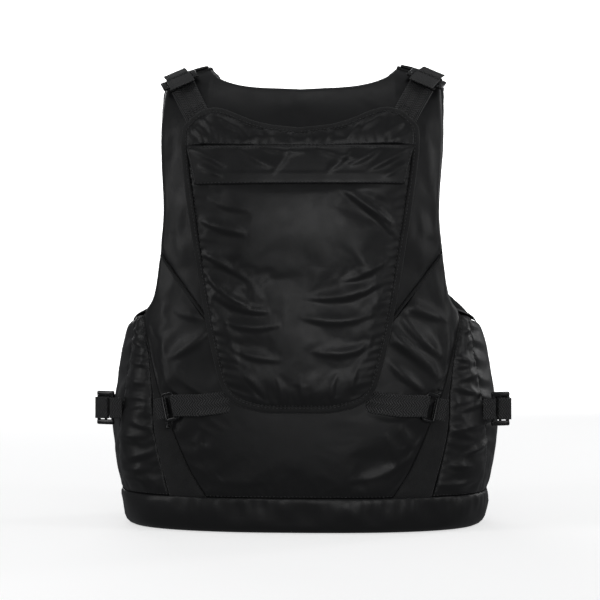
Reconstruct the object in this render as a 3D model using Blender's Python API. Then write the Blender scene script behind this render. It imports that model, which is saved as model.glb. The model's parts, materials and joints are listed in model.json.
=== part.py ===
"""Buoyancy vest with a stow pocket that hangs in a webbing harness on its back.

Lengths are in millimetres and become metres when a mesh is made. +Z is up, the back faces -Y,
+X is to the right seen from behind, and the hem stands on z = 0.

Every soft layer is a patch of one torso surface. A place on it is a pair (angle, rise): the angle
in degrees runs from 0 at the middle of the back through 90 at the side to 180 at the front, and the
rise is the height up to where the shoulder dome starts, and goes on evenly over the dome.
"""

import math

import bmesh
import bpy
from mathutils import Matrix, Vector

MM = 0.001

# Torso sections: (height, half width) and (height, half depth of the back).
WIDTHS = (
    (0, 210), (14, 214), (45, 219), (113, 228), (150, 225), (200, 217), (231, 211), (262, 205), (300, 203),
)
BACK_DEPTHS = ((0, 127), (30, 131), (113, 135), (200, 133), (300, 128))
FRONT_DEPTH = 140.25
ROUNDNESS = 2.5
BACK_DOME_START, BACK_DOME_TOP = 300, 800
FRONT_DOME_START, FRONT_DOME_TOP = 420, 660
FRONT_SEAM_RISE = 657.5
CREST_HEIGHT, CREST_SLOPE = 541, 0.28
NECK_HALF, ARM_HALF = 108, 165

# Layers, measured inwards from the torso surface. The foam thins over the shoulders.
SHELL = 1.2
FOAM_GAP, LINING_GAP = 2.7, 3.4
LINING = 1.0
FOAMS = ((380, 14), (470, 9), (541, 4))
SEAM_GAP = 0.9
BEND_START, BEND_EFFORT = 400, 2.0
HEM_HEIGHT, HEM_OUTER, HEM_INNER = 39, 0.5, 15

# Pattern lines of the right half, as (half width, height).
NECKLINE = ((0, 505), (62, 511), (95, 521), (NECK_HALF, None))
FRONT_NECKLINE = ((16, 436), (58, 448), (90, 486), (NECK_HALF, None))
BACK_ARMHOLE = ((184, 252), (171, 272), (165, 320), (161, 370), (166, 450), (ARM_HALF, None))
FRONT_ARMHOLE = ((172, 274), (163, 320), (156, 370), (160, 440), (ARM_HALF, None))
PIPING_SEAM = ((165, 320), (97, 232), (55, 212), (0, 206))
BAND_INNER = ((106, 40), (125, 70), (150, 130), (163, 160), (175, 205), (184, 250))
BAND_OUTER = ((150, 40), (163, 88), (170, 157), (176, 205), (185.5, 249))
BAND_TOP = 157
SIDE_SEAM = ((209, 40), (215, 80), (213, 120), (207, 160), (200, 205), (193.5, 245))
FRONT_SEAM = ((172, 40), (182, 110), (180, 200), (172, 274))
SIDE_DIP = 238
ZIP_HALF = 16

# Pocket: half outline from the middle of its top edge round to the middle of its bottom edge.
POCKET = (
    (0, 457), (45, 463), (94, 479.5), (122, 467), (131, 435),
    (113, 300), (95, 200), (79, 155), (44, 139), (0, 137),
)
POCKET_TOP_CORNER, POCKET_BOTTOM_CORNER = 3, 7
POCKET_STANDOFF, POCKET_FLARE = 1.8, 5.0
POCKET_FABRIC = 1.0
POCKET_RIM, POCKET_WALL = 6.0, 7.0
POCKET_BULGE = 6.0
FLAP_TOP, FLAP_BOTTOM = 436, 393
FLAP_HALF_TOP, FLAP_HALF_BOTTOM = 124.5, 114
MOUTH_TOP, MOUTH_BOTTOM = 431, 421

# Webbing and hardware.
WEB = 1.4
SHOULDER_WEB, SIDE_WEB, LOWER_WEB = 30, 25, 25
LOCK_THICK = 4.0
LOCK_BAR = 3.0
LOCK_SLOT = 6.4
LOCK_SIDE = 6.0
STRAP_LIFT = 3.2
HOOK_HEIGHT, HOOK_WIDTH, HOOK_WIRE = 34, 17, 3.4

# Zip.
ZIP_TOP, ZIP_BOTTOM = 433, 3
ZIP_PLANE = FRONT_DEPTH - 3.0
TOOTH_IN, TOOTH_OUT, TOOTH_THICK = 1.5, 4.2, 3.0
SLIDER_HEIGHT = 424


def clear_scene():
    for obj in list(bpy.data.objects):
        bpy.data.objects.remove(obj)


def material(name, colour, roughness, metallic=0.0):
    """A plain Principled material, made once for each name."""
    if name in bpy.data.materials:
        return bpy.data.materials[name]
    made = bpy.data.materials.new(name)
    made.use_nodes = True
    shader = made.node_tree.nodes["Principled BSDF"]
    shader.inputs["Base Color"].default_value = (*colour, 1.0)
    shader.inputs["Roughness"].default_value = roughness
    shader.inputs["Metallic"].default_value = metallic
    made.diffuse_color = (*colour, 1.0)
    return made


def nylon(name):
    return material(name + "_nylon", (0.012, 0.012, 0.013), 0.35)


def webbing(name):
    return material(name + "_webbing", (0.008, 0.008, 0.008), 0.8)


def plastic(name):
    return material(name + "_plastic", (0.01, 0.01, 0.01), 0.4)


def matte(name):
    return material(name + "_matte", (0.014, 0.014, 0.014), 0.9)


def foam(name):
    return material(name + "_foam", (0.35, 0.36, 0.38), 0.95)


def lining(name):
    return material(name + "_lining", (0.02, 0.02, 0.022), 0.7)


def solid(name, points, faces, look, place=None, smooth=False):
    """An object from points in millimetres. place is its own frame, which also sets its origin."""
    mesh = bpy.data.meshes.new(name)
    mesh.from_pydata([Vector(point) * MM for point in points], [], faces)
    work = bmesh.new()
    work.from_mesh(mesh)
    bmesh.ops.recalc_face_normals(work, faces=work.faces)
    work.to_mesh(mesh)
    work.free()
    obj = bpy.data.objects.new(name, mesh)
    bpy.context.collection.objects.link(obj)
    mesh.materials.append(look(name))
    if place is not None:
        obj.matrix_world = place
    if smooth:
        mesh.shade_smooth()
        mesh.set_sharp_from_angle(angle=math.radians(35))
    return obj


# The torso surface.


def between(table, position):
    """A smooth curve through (position, value) stations, level beyond its ends."""
    if position <= table[0][0]:
        return table[0][1]
    if position >= table[-1][0]:
        return table[-1][1]
    last = len(table) - 1
    i = max(k for k in range(last) if table[k][0] <= position)
    (x0, y0), (x1, y1) = table[i], table[i + 1]
    before, after = table[max(i - 1, 0)], table[min(i + 2, last)]
    width = x1 - x0
    slope0 = (y1 - before[1]) / (x1 - before[0])
    slope1 = (after[1] - y0) / (after[0] - x0)
    t = (position - x0) / width
    return (
        y0 * (1 + 2 * t) * (1 - t) ** 2
        + slope0 * width * t * (1 - t) ** 2
        + y1 * t * t * (3 - 2 * t)
        + slope1 * width * t * t * (t - 1)
    )


def crest(x):
    """Height of the shoulder line, which falls from the neck to the arm."""
    return CREST_HEIGHT - CREST_SLOPE * max(abs(x) - NECK_HALF, 0)


def torso(angle, rise):
    """The point of the outer surface at an angle and a rise."""
    front = abs(angle) > 90
    across = abs(math.sin(math.radians(angle))) ** (2 / ROUNDNESS)
    along = abs(math.cos(math.radians(angle))) ** (2 / ROUNDNESS)
    start, top = (FRONT_DOME_START, FRONT_DOME_TOP) if front else (BACK_DOME_START, BACK_DOME_TOP)
    side = math.copysign(1, angle)
    x = side * between(WIDTHS, rise) * across
    z, depth = rise, FRONT_DEPTH if front else between(BACK_DEPTHS, rise)
    if rise > start:
        climb = 1 - (1 - min((rise - start) / (top - start), 1)) ** 2
        z = start + (crest(x) - start) * climb
        depth *= math.sqrt(max(1 - climb ** (2 if front else 3), 0))
    return Vector((x, depth * along if front else -depth * along, z))


def outward(angle, rise):
    """The surface's direction, level on the body so that rows keep their height."""
    step = 0.05
    sideways = torso(angle + step, rise) - torso(angle - step, rise)
    upwards = torso(angle, rise) - torso(angle, rise - 0.5)
    normal = sideways.cross(upwards).normalized()
    level = min(max((rise - 240) / 100, 0), 1)
    normal.z *= level
    return normal.normalized()


def spot(x, z, front=False):
    """The (angle, rise) of a half width and a height. No height means the shoulder line."""
    start, top = (FRONT_DOME_START, FRONT_DOME_TOP) if front else (BACK_DOME_START, BACK_DOME_TOP)
    rise = top if z is None else z
    if z is not None and z > start:
        climb = min((z - start) / (crest(x) - start), 1)
        rise = start + (top - start) * (1 - math.sqrt(1 - climb))
    if front:
        rise = min(rise, FRONT_SEAM_RISE)
    return spot_at_rise(x, rise, front)


def level_path(points, height):
    """(centre, normal) pairs along a level line, its normals to the right of it."""
    path = []
    for i, (x, y) in enumerate(points):
        x0, y0 = points[max(i - 1, 0)]
        x1, y1 = points[min(i + 1, len(points) - 1)]
        path.append((Vector((x, y, height)), Vector((y1 - y0, x0 - x1, 0)).normalized()))
    return path


def spot_at_rise(x, rise, front=False):
    """The (angle, rise) of a half width at a rise."""
    share = min(abs(x) / between(WIDTHS, rise), 1)
    angle = math.degrees(math.asin(share ** (ROUNDNESS / 2)))
    return (math.copysign(180 - angle if front else angle, x), rise)


def line(points, front=False, shift=(0, 0)):
    """Pattern points as spots, each moved by shift."""
    dx, dz = shift
    return [spot(x + dx, None if z is None else z + dz, front) for x, z in points]


def resample(spots, count):
    """count + 1 spots along a chain, evenly but closer together where the shoulders bend."""
    places = [torso(*one) for one in spots]
    reach = [0.0]
    for a, b in zip(places, places[1:]):
        effort = BEND_EFFORT if b.z > BEND_START else 1
        reach.append(reach[-1] + max((b - a).length, 1e-6) * effort)
    chosen = []
    for k in range(count + 1):
        goal = reach[-1] * k / count
        i = max(j for j in range(len(spots) - 1) if reach[j] <= goal + 1e-9)
        t = (goal - reach[i]) / (reach[i + 1] - reach[i])
        chosen.append(tuple(a + (b - a) * t for a, b in zip(spots[i], spots[i + 1])))
    return chosen


def rounded(points, steps=6):
    """A smooth curve through 2-D points, ends included."""
    chain = [Vector((x, crest(x) if z is None else z)) for x, z in points]
    ends = [2 * chain[0] - chain[1]] + chain + [2 * chain[-1] - chain[-2]]
    out = []
    for a, b, c, d in zip(ends, ends[1:], ends[2:], ends[3:]):
        for k in range(steps):
            t = k / steps
            bend = (2 * a - 5 * b + 4 * c - d) * t**2 + (3 * b - a - 3 * c + d) * t**3
            out.append(0.5 * (2 * b + (c - a) * t + bend))
    return [tuple(point) for point in out] + [tuple(chain[-1])]


def patch(bottom, top, left, right, columns, rows):
    """A grid of spots that fills four edge chains, all of them running left to right or up."""
    b, t = resample(bottom, columns), resample(top, columns)
    l, r = resample(left, rows), resample(right, rows)
    grid = []
    for j in range(rows + 1):
        v = j / rows
        row = []
        for i in range(columns + 1):
            u = i / columns
            row.append(
                tuple(
                    (1 - v) * b[i][k] + v * t[i][k] + (1 - u) * l[j][k] + u * r[j][k]
                    - (1 - u) * (1 - v) * b[0][k] - u * (1 - v) * b[-1][k]
                    - (1 - u) * v * t[0][k] - u * v * t[-1][k]
                    for k in (0, 1)
                )
            )
        grid.append(row)
    return grid


def mirrored(grid):
    return [[(-angle, rise) for angle, rise in reversed(row)] for row in grid]


def both_halves(chain):
    """A chain that starts on the middle line, with its mirror image before it."""
    return [(-angle, rise) for angle, rise in reversed(chain)] + chain[1:]


def value(amount, point):
    return amount(point) if callable(amount) else amount


def plate(name, grid, outer, inner, look, place=None):
    """A closed solid between two offsets of a grid. An offset may depend on the surface point."""
    rows, columns = len(grid), len(grid[0])
    home = place.inverted() if place is not None else Matrix.Identity(4)
    points = []
    for offset in (outer, inner):
        for row in grid:
            for angle, rise in row:
                base = torso(angle, rise)
                point = base + outward(angle, rise) * value(offset, base)
                if rise <= 0:
                    point.z = 0
                points.append(home @ (point * MM) / MM if place is not None else point)
    return solid(name, points, slab_faces(rows, columns), look, place)


def slab_faces(rows, columns, closed=False):
    """Faces of two stacked grids of points and the walls between them."""
    layer = rows * columns
    faces = []
    across = columns if closed else columns - 1
    for j in range(rows - 1):
        for i in range(across):
            a, b = j * columns + i, j * columns + (i + 1) % columns
            faces.append((a, b, b + columns, a + columns))
            faces.append((layer + a, layer + a + columns, layer + b + columns, layer + b))
    rim = []
    for i in range(across):
        rim.append((i, (i + 1) % columns))
        top = (rows - 1) * columns
        rim.append((top + (i + 1) % columns, top + i))
    if not closed:
        for j in range(rows - 1):
            rim.append(((j + 1) * columns, j * columns))
            rim.append((j * columns + columns - 1, (j + 2) * columns - 1))
    for a, b in rim:
        faces.append((b, a, layer + a, layer + b))
    return faces


def shell_inner(point):
    return -SHELL


def foam_outer(point):
    return -SHELL - FOAM_GAP


def foam_inner(point):
    return foam_outer(point) - between(FOAMS, point.z)


def lining_outer(point):
    return foam_inner(point) - LINING_GAP


def lining_inner(point):
    return lining_outer(point) - LINING


# Shells, bands, foams, linings and hem.


def add_pair(name, grid, outer, inner, look):
    """The same patch on both sides. Its grid is the right one."""
    plate(name + "_right", grid, outer, inner, look)
    plate(name + "_left", mirrored(grid), outer, inner, look)


def add_back_shells():
    gap = SEAM_GAP * 2.4
    seam_over = line(rounded(PIPING_SEAM[::-1]), shift=(0, gap))
    seam_under = line(rounded(PIPING_SEAM[::-1]), shift=(0, -gap))
    arm = line(rounded(BACK_ARMHOLE[2:]))
    arm[0] = seam_over[-1]
    top = line(rounded(NECKLINE, 4)) + [spot(ARM_HALF, None)]
    left = [(-angle, rise) for angle, rise in arm]
    grid = patch(both_halves(seam_over), both_halves(top), left, arm, 18, 10)
    plate("upper_back_shell", grid, 0, shell_inner, nylon)
    armhole = line(rounded(BACK_ARMHOLE, 4)[1:8], shift=(-1, -1))
    edge = line(BAND_INNER, shift=(-SEAM_GAP, 0)) + armhole + seam_under[-1:]
    left = [(-angle, rise) for angle, rise in edge]
    bottom = line(((0, 40 + SEAM_GAP), (106 - SEAM_GAP, 40 + SEAM_GAP)))
    bottom[-1] = edge[0]
    grid = patch(both_halves(bottom), both_halves(seam_under), left, edge, 16, 9)
    plate("lower_back_shell", grid, 0, shell_inner, nylon)


def cut_at(points, height):
    """The lower part of a pattern line, up to a height."""
    kept = [point for point in points if point[1] < height]
    (x0, z0), (x1, z1) = kept[-1], points[len(kept)]
    return tuple(kept) + ((x0 + (x1 - x0) * (height - z0) / (z1 - z0), height),)


def add_side_bands():
    inner = line(cut_at(BAND_INNER, BAND_TOP), shift=(SEAM_GAP, SEAM_GAP))
    outer = line(cut_at(BAND_OUTER, BAND_TOP), shift=(-SEAM_GAP, SEAM_GAP))
    grid = patch([inner[0], outer[0]], [inner[-1], outer[-1]], inner, outer, 4, 8)
    add_pair("side_band", grid, -0.2, -SHELL, matte)


def add_side_panels():
    band = line(BAND_OUTER, shift=(SEAM_GAP, SEAM_GAP))
    seam = line(SIDE_SEAM, shift=(-SEAM_GAP, SEAM_GAP))
    grid = patch([band[0], seam[0]], [band[-1], seam[-1]], band, seam, 4, 9)
    add_pair("back_side_panel", grid, 0, shell_inner, nylon)
    seam = line(SIDE_SEAM, shift=(SEAM_GAP, SEAM_GAP))
    front = line(FRONT_SEAM, front=True, shift=(SEAM_GAP, SEAM_GAP))
    dip = [seam[-1], (90, SIDE_DIP), (104, SIDE_DIP + 3), front[-1]]
    hem = [seam[0], (90, seam[0][1]), front[0]]
    grid = patch(hem, dip, seam, front, 8, 8)
    add_pair("side_panel", grid, 0, shell_inner, nylon)


def front_edges(gap, low):
    """The zip edge, the outer edge, the top and the bottom of a front panel, gap inside its pattern."""
    inner = line(((ZIP_HALF + gap, low), (ZIP_HALF + gap, FRONT_NECKLINE[0][1] - gap)), front=True)
    outer = line(FRONT_SEAM[:-1] + FRONT_ARMHOLE, front=True, shift=(-gap, 0))
    outer[0] = spot(FRONT_SEAM[0][0] - gap, low, front=True)
    top = line(rounded(FRONT_NECKLINE, 4)[1:], front=True, shift=(gap, -gap))
    return inner, outer, [inner[-1]] + top + [outer[-1]], [inner[0], outer[0]]


def add_front_shells():
    inner, outer, top, bottom = front_edges(SEAM_GAP, 40 + SEAM_GAP)
    add_pair("front_shell", patch(bottom, top, inner, outer, 8, 15), 0, shell_inner, nylon)


def add_foams():
    inset = 7
    edge = line(((148, 46), (161, 88), (168, 157), (172, 205), (178, 240)), shift=(-2, 0))
    arm = line(BACK_ARMHOLE[1:-1], shift=(-inset, 0)) + [spot(ARM_HALF - inset, None)]
    edge += arm
    top = line(rounded(NECKLINE, 4)[:-1], shift=(0, -inset)) + [spot(NECK_HALF + inset, None), arm[-1]]
    left = [(-angle, rise) for angle, rise in edge]
    bottom = line(((0, 46), (146, 46)))
    grid = patch(both_halves(bottom), both_halves(top), left, edge, 12, 14)
    plate("back_foam", grid, foam_outer, foam_inner, foam)
    back = line(((155, 46), (170, 88), (177, 157), (182, 205), (188, 238)))
    front = line(((176, 46), (186, 110), (184, 200), (180, 246)), front=True)
    dip = [back[-1], (90, SIDE_DIP - inset), front[-1]]
    hem = [back[0], (90, back[0][1]), front[0]]
    add_pair("side_foam", patch(hem, dip, back, front, 9, 5), foam_outer, foam_inner, foam)
    inner, outer, top, bottom = front_edges(inset, 46)
    add_pair("front_foam", patch(bottom, top, inner, outer, 7, 13), foam_outer, foam_inner, foam)


def add_linings():
    side = [(89.5, 42), (89.5, SIDE_DIP - 8)]
    arm = line(rounded(BACK_ARMHOLE, 4), shift=(-9, -8))
    edge = side + arm
    left = [(-angle, rise) for angle, rise in edge]
    top = line(rounded(NECKLINE, 4), shift=(0, -1)) + arm[-1:]
    bottom = [(0, 42), (30, 42), (60, 42), (89.5, 42)]
    grid = patch(both_halves(bottom), both_halves(top), left, edge, 16, 9)
    plate("back_lining", grid, lining_outer, lining_inner, lining)
    arm = line(rounded(FRONT_ARMHOLE, 4), front=True, shift=(-9, -8))
    edge = [(90.5, 42), (90.5, SIDE_DIP - 8)] + arm
    inner = line(((ZIP_HALF + 3, 42), (ZIP_HALF + 3, FRONT_NECKLINE[0][1] - 3)), front=True)
    top = [inner[-1]] + line(rounded(FRONT_NECKLINE, 4)[1:], front=True, shift=(1, -1)) + edge[-1:]
    bottom = [inner[0], (150, 42), (120, 42), edge[0]]
    grid = patch(bottom, top, inner, edge, 9, 10)
    add_pair("front_lining", grid, lining_outer, lining_inner, lining)


def add_hem():
    split = 112
    angles = [split * k / 14 for k in range(-14, 15)]
    rows = (0, HEM_HEIGHT * 0.3, HEM_HEIGHT * 0.7, HEM_HEIGHT)
    grid = [[(angle, rise) for angle in angles] for rise in rows]
    plate("hem_back", grid, -HEM_OUTER, -HEM_INNER, nylon)
    start = split + 0.4
    end = spot(ZIP_HALF + SEAM_GAP, 0, front=True)[0]
    angles = [start + (end - start) * k / 9 for k in range(10)]
    front = [[(angle, rise) for angle in angles] for rise in rows]
    add_pair("hem_front", front, -HEM_OUTER, -HEM_INNER, nylon)


# Edge bindings and piping.


def edge_strip(name, chain, look, closed=False, near=-3.6, far=-5.2, margin=0.6):
    """A binding beyond the edge that chain follows, from the shell's face to behind the lining."""
    layers = [[], []]
    count = len(chain)
    for i, (angle, rise) in enumerate(chain):
        after = torso(*chain[(i + 1) % count if closed else min(i + 1, count - 1)])
        before = torso(*chain[i - 1 if closed or i else 0])
        base = torso(angle, rise)
        normal = outward(angle, rise)
        beyond = (after - before).cross(normal).normalized()
        for layer, reach in zip(layers, (near, far)):
            for depth in (margin, lining_inner(base) - margin):
                layer.append(base + beyond * reach + normal * depth)
    points = []
    for layer in layers:
        points += layer[0::2] + layer[1::2]
    return solid(name, points, slab_faces(2, count, closed), look)


def add_bindings():
    back = line(rounded(BACK_ARMHOLE, 4))
    front = line(rounded(FRONT_ARMHOLE, 4), front=True)
    ring = back[::-1] + [(80, 243), (90, SIDE_DIP), (100, SIDE_DIP + 4)] + front[:-1]
    edge_strip("armhole_binding_right", ring, nylon, closed=True)
    ring = [(-angle, rise) for angle, rise in reversed(ring)]
    edge_strip("armhole_binding_left", ring, nylon, closed=True)
    back = line(rounded(NECKLINE, 4))
    front = line(rounded(FRONT_NECKLINE, 4), front=True)
    half = back[:-1] + front[::-1]
    chain = [(-angle, rise) for angle, rise in reversed(half)] + half[1:]
    edge_strip("neck_binding", chain, nylon)


def tube(name, points, radius, look):
    """A round cord through points, with closed ends."""
    curve = bpy.data.curves.new(name, "CURVE")
    curve.dimensions = "3D"
    curve.bevel_depth = radius * MM
    curve.bevel_resolution = 1
    curve.use_fill_caps = True
    spline = curve.splines.new("POLY")
    spline.points.add(len(points) - 1)
    for place, point in zip(spline.points, points):
        place.co = (*(Vector(point) * MM), 1)
    obj = bpy.data.objects.new(name, curve)
    bpy.context.collection.objects.link(obj)
    curve.materials.append(look(name))


def add_piping():
    lift = 1.3
    for side, name in ((1, "back_piping_right"), (-1, "back_piping_left")):
        chain = resample(line(PIPING_SEAM[:2]), 12)
        points = [torso(side * angle, rise) + outward(side * angle, rise) * lift for angle, rise in chain]
        tube(name, points[1:-1], 1.5, matte)


# The pocket.


def pocket_lift(point):
    """How far the pocket's back stands off the vest: it is flatter than the wearer's back."""
    return POCKET_STANDOFF + POCKET_FLARE * (point.x / 125) ** 2


def pocket_lifted(extra):
    return lambda point: pocket_lift(point) + extra


def pocket_chain(inset):
    """The half outline from top middle to bottom middle, moved inwards."""
    outline = rounded(POCKET, 3)
    moved = []
    for i, (x, z) in enumerate(outline):
        x0, z0 = outline[max(i - 1, 0)]
        x1, z1 = outline[min(i + 1, len(outline) - 1)]
        along = Vector((x1 - x0, z1 - z0)).normalized()
        step = Vector((along.y, -along.x)) * inset
        moved.append((x + step.x if 0 < i < len(outline) - 1 else 0, z + step.y))
    return moved


def pocket_edges(inset):
    """The top, right side and bottom of the outline, each as spots."""
    chain = pocket_chain(inset)
    a, b = POCKET_TOP_CORNER * 3, POCKET_BOTTOM_CORNER * 3
    return line(chain[: a + 1]), line(chain[a : b + 1]), line(chain[b:])


def pocket_patch(inset, columns, rows, low=None, high=None):
    """A grid over the pocket, or over the part of it between two heights."""
    top, side, bottom = pocket_edges(inset)
    bottom = bottom[::-1]
    if high is not None:
        side = [one for one in side if one[1] < spot(100, high)[1] - 3]
        width = half_width_at(high, inset)
        side = [spot(width, high)] + side
        top = line(((0, high), (width * 0.5, high), (width, high)))
    if low is not None:
        side = [one for one in side if one[1] > spot(100, low)[1] + 3]
        width = half_width_at(low, inset)
        side = side + [spot(width, low)]
        bottom = line(((0, low), (width * 0.5, low), (width, low)))
    side = side[::-1]
    left = [(-angle, rise) for angle, rise in side]
    return patch(both_halves(bottom), both_halves(top), left, side, columns, rows)


def half_width_at(height, inset):
    """Half the pocket's width at a height on its straight sides."""
    chain = pocket_chain(inset)
    for (x0, z0), (x1, z1) in zip(chain[8:], chain[9:]):
        if z1 <= height <= z0:
            return x0 + (x1 - x0) * (z0 - height) / (z0 - z1)
    return chain[9][0]


def bulge(extra):
    """The pocket face stands furthest out in its middle."""
    def lift(point):
        share = max(1 - (point.x / 118) ** 2, 0)
        rise = max(1 - ((point.z - 290) / 160) ** 2, 0)
        return pocket_lift(point) + extra + POCKET_BULGE * share * rise
    return lift


def add_pocket():
    inside = POCKET_RIM + 0.9
    plate("pocket_back", pocket_patch(inside, 10, 9), pocket_lifted(POCKET_FABRIC), pocket_lift, nylon)
    grid = pocket_patch(inside, 10, 8, high=MOUTH_BOTTOM)
    plate("pocket_face", grid, bulge(POCKET_WALL - 0.6), bulge(POCKET_WALL - 0.6 - POCKET_FABRIC), nylon)
    grid = pocket_patch(inside, 12, 2, low=MOUTH_TOP)
    outer, inner = pocket_lifted(POCKET_WALL - 0.6), pocket_lifted(POCKET_WALL - 0.6 - POCKET_FABRIC)
    plate("pocket_top_band", grid, outer, inner, nylon)
    loops = []
    for inset in (0, POCKET_RIM):
        half = line(pocket_chain(inset))
        loops.append(half + [(-angle, rise) for angle, rise in half[-2:0:-1]])
    plate_ring("pocket_binding", loops, pocket_lifted(POCKET_WALL), pocket_lift, matte)


def plate_ring(name, loops, outer, inner, look):
    points = []
    for offset in (outer, inner):
        for loop in loops:
            for angle, rise in loop:
                base = torso(angle, rise)
                points.append(base + outward(angle, rise) * value(offset, base))
    return solid(name, points, slab_faces(len(loops), len(loops[0]), closed=True), look)


def add_flap():
    height = pocket_lift(Vector((60, 0, 0))) + POCKET_WALL
    hinge = torso(*spot(60, FLAP_TOP)) + outward(*spot(60, FLAP_TOP)) * height
    place = Matrix.Translation(Vector((0, hinge.y, hinge.z)) * MM)
    low, high = POCKET_WALL + 0.9, POCKET_WALL + 0.9 + 1.6
    rows = []
    for v in (0, 0.25, 0.5, 0.75, 1):
        height = FLAP_BOTTOM + (FLAP_TOP - FLAP_BOTTOM) * v
        half = FLAP_HALF_BOTTOM + (FLAP_HALF_TOP - FLAP_HALF_BOTTOM) * v
        rows.append([spot(half * k / 8, height) for k in range(-8, 9)])
    plate("pocket_flap", rows, bulge_flap(high), bulge_flap(low), nylon, place)


def bulge_flap(extra):
    """The flap follows the pocket face that it covers, with a little room."""
    face = bulge(extra)
    return lambda point: face(point) + 0.4


# Webbing and hardware.


def frame_at(x, z, toward, lift, front=False):
    """A frame on the vest: u runs towards another pattern point, n points out, w lies across."""
    here, there = spot(x, z, front), spot(*toward, front)
    normal = outward(*here)
    ahead = torso(*there) - torso(*here)
    u = (ahead - normal * ahead.dot(normal)).normalized()
    return frame_of(torso(*here) + normal * lift, u, normal)


def frame_of(origin, u, normal):
    """A matrix in metres with columns w (across), u (along) and n (out)."""
    w = u.cross(normal)
    rotation = Matrix((w, u, normal)).transposed().to_4x4()
    return Matrix.Translation(origin * MM) @ rotation


def ribbon(name, path, width, look, place=None, thick=WEB):
    """Webbing along a path of (centre, normal) pairs. The width lies across both."""
    centres = [Vector(centre) for centre, _ in path]
    layers = ([], [])
    last = len(path) - 1
    for i, (_, normal) in enumerate(path):
        ahead = (centres[min(i + 1, last)] - centres[max(i - 1, 0)]).normalized()
        normal = Vector(normal)
        across = ahead.cross(normal).normalized()
        normal = across.cross(ahead).normalized()
        for layer, side in zip(layers, (0.5, -0.5)):
            for reach in (-0.5, 0.5):
                layer.append(centres[i] + across * width * reach + normal * thick * side)
    points = []
    for layer in layers:
        points += layer[0::2] + layer[1::2]
    return solid(name, points, slab_faces(2, len(path)), look, place)


def surface_path(points, lifts, front=False, steps=4):
    """(centre, normal) pairs over the vest through pattern points, at changing heights above it."""
    chain = rounded([(x, z) for x, z in points], steps)
    count = len(chain) - 1
    path = []
    for i, (x, z) in enumerate(chain):
        here = spot(x, z, front)
        share = i / count * (len(lifts) - 1)
        k = min(int(share), len(lifts) - 2)
        lift = lifts[k] + (lifts[k + 1] - lifts[k]) * (share - k)
        path.append((torso(*here) + outward(*here) * lift, outward(*here)))
    return path


def cell_plate(name, across, along, holes, thick, look, place, bevel):
    """A flat frame: a grid of cells, some of them left empty, with rounded edges."""
    columns, rows = len(across), len(along)
    points = [(x, y, z) for z in (thick / 2, -thick / 2) for y in along for x in across]
    layer = columns * rows
    cells = [(i, j) for j in range(rows - 1) for i in range(columns - 1) if (i, j) not in holes]
    faces, sides = [], {}
    for i, j in cells:
        a = j * columns + i
        ring = (a, a + 1, a + 1 + columns, a + columns)
        faces.append(ring)
        faces.append(tuple(layer + k for k in reversed(ring)))
        for p, q in zip(ring, ring[1:] + ring[:1]):
            if (q, p) in sides:
                del sides[(q, p)]
            else:
                sides[(p, q)] = True
    faces += [(q, p, layer + p, layer + q) for p, q in sides]
    obj = solid(name, points, faces, look, place)
    rounding = obj.modifiers.new("rounding", "BEVEL")
    rounding.width = bevel * MM
    rounding.segments = 1
    rounding.limit_method = "ANGLE"
    rounding.harden_normals = False
    return obj


def add_ladder_lock(name, place, web):
    """A ladder lock whose origin is its tab bar. It hangs from there along -u."""
    half = web / 2 + 1.2
    across = (-half - LOCK_SIDE, -half, half, half + LOCK_SIDE)
    along = [LOCK_BAR / 2]
    for step in (LOCK_BAR, LOCK_SLOT, LOCK_BAR, LOCK_SLOT, LOCK_BAR + 0.6):
        along.append(along[-1] - step)
    cell_plate(name, across, along[::-1], {(1, 1), (1, 3)}, LOCK_THICK, plastic, place, 0.8)


def lock_path(incoming, tail):
    """Webbing round a lock's middle bar, in the lock's frame: in behind it, round it and out in front."""
    bar = -(LOCK_BAR + LOCK_SLOT)
    turn = LOCK_BAR / 2 + 1.9
    path = [((0, bar - incoming, -STRAP_LIFT), (0, 0, -1)), ((0, bar - 2, -STRAP_LIFT), (0, 0, -1))]
    for k in range(1, 6):
        bend = math.pi * k / 6
        out = (0, math.sin(bend), -math.cos(bend))
        path.append(((0, bar + math.sin(bend) * turn, -math.cos(bend) * STRAP_LIFT), out))
    path += [((0, bar - 2, STRAP_LIFT), (0, 0, 1)), ((0, bar - tail * 0.5, STRAP_LIFT + 0.3), (0, 0, 1))]
    path.append(((0, bar - tail, STRAP_LIFT), (0, 0, 1)))
    return path


def tab_path(back, over):
    """A tab round a lock's tab bar, in the lock's frame, with a short leg behind and a long one in front."""
    reach = LOCK_THICK / 2 + 1.1
    path = [((0, back, -reach), (0, 0, -1)), ((0, 1, -reach), (0, 0, -1))]
    for k in range(1, 6):
        bend = math.pi * k / 6
        out = (0, -math.sin(bend), -math.cos(bend))
        path.append(((0, -math.sin(bend) * (LOCK_BAR / 2 + 1.5), -math.cos(bend) * reach), out))
    return path + [((0, 1, reach), (0, 0, 1)), ((0, over, reach - over / 7), (0, 0, 1))]


def flipped(place):
    """The mirror image of a frame on the other side of the vest, still right-handed."""
    turn = Matrix.Diagonal((-1, 1, 1, 1))
    return turn @ place @ turn


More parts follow.
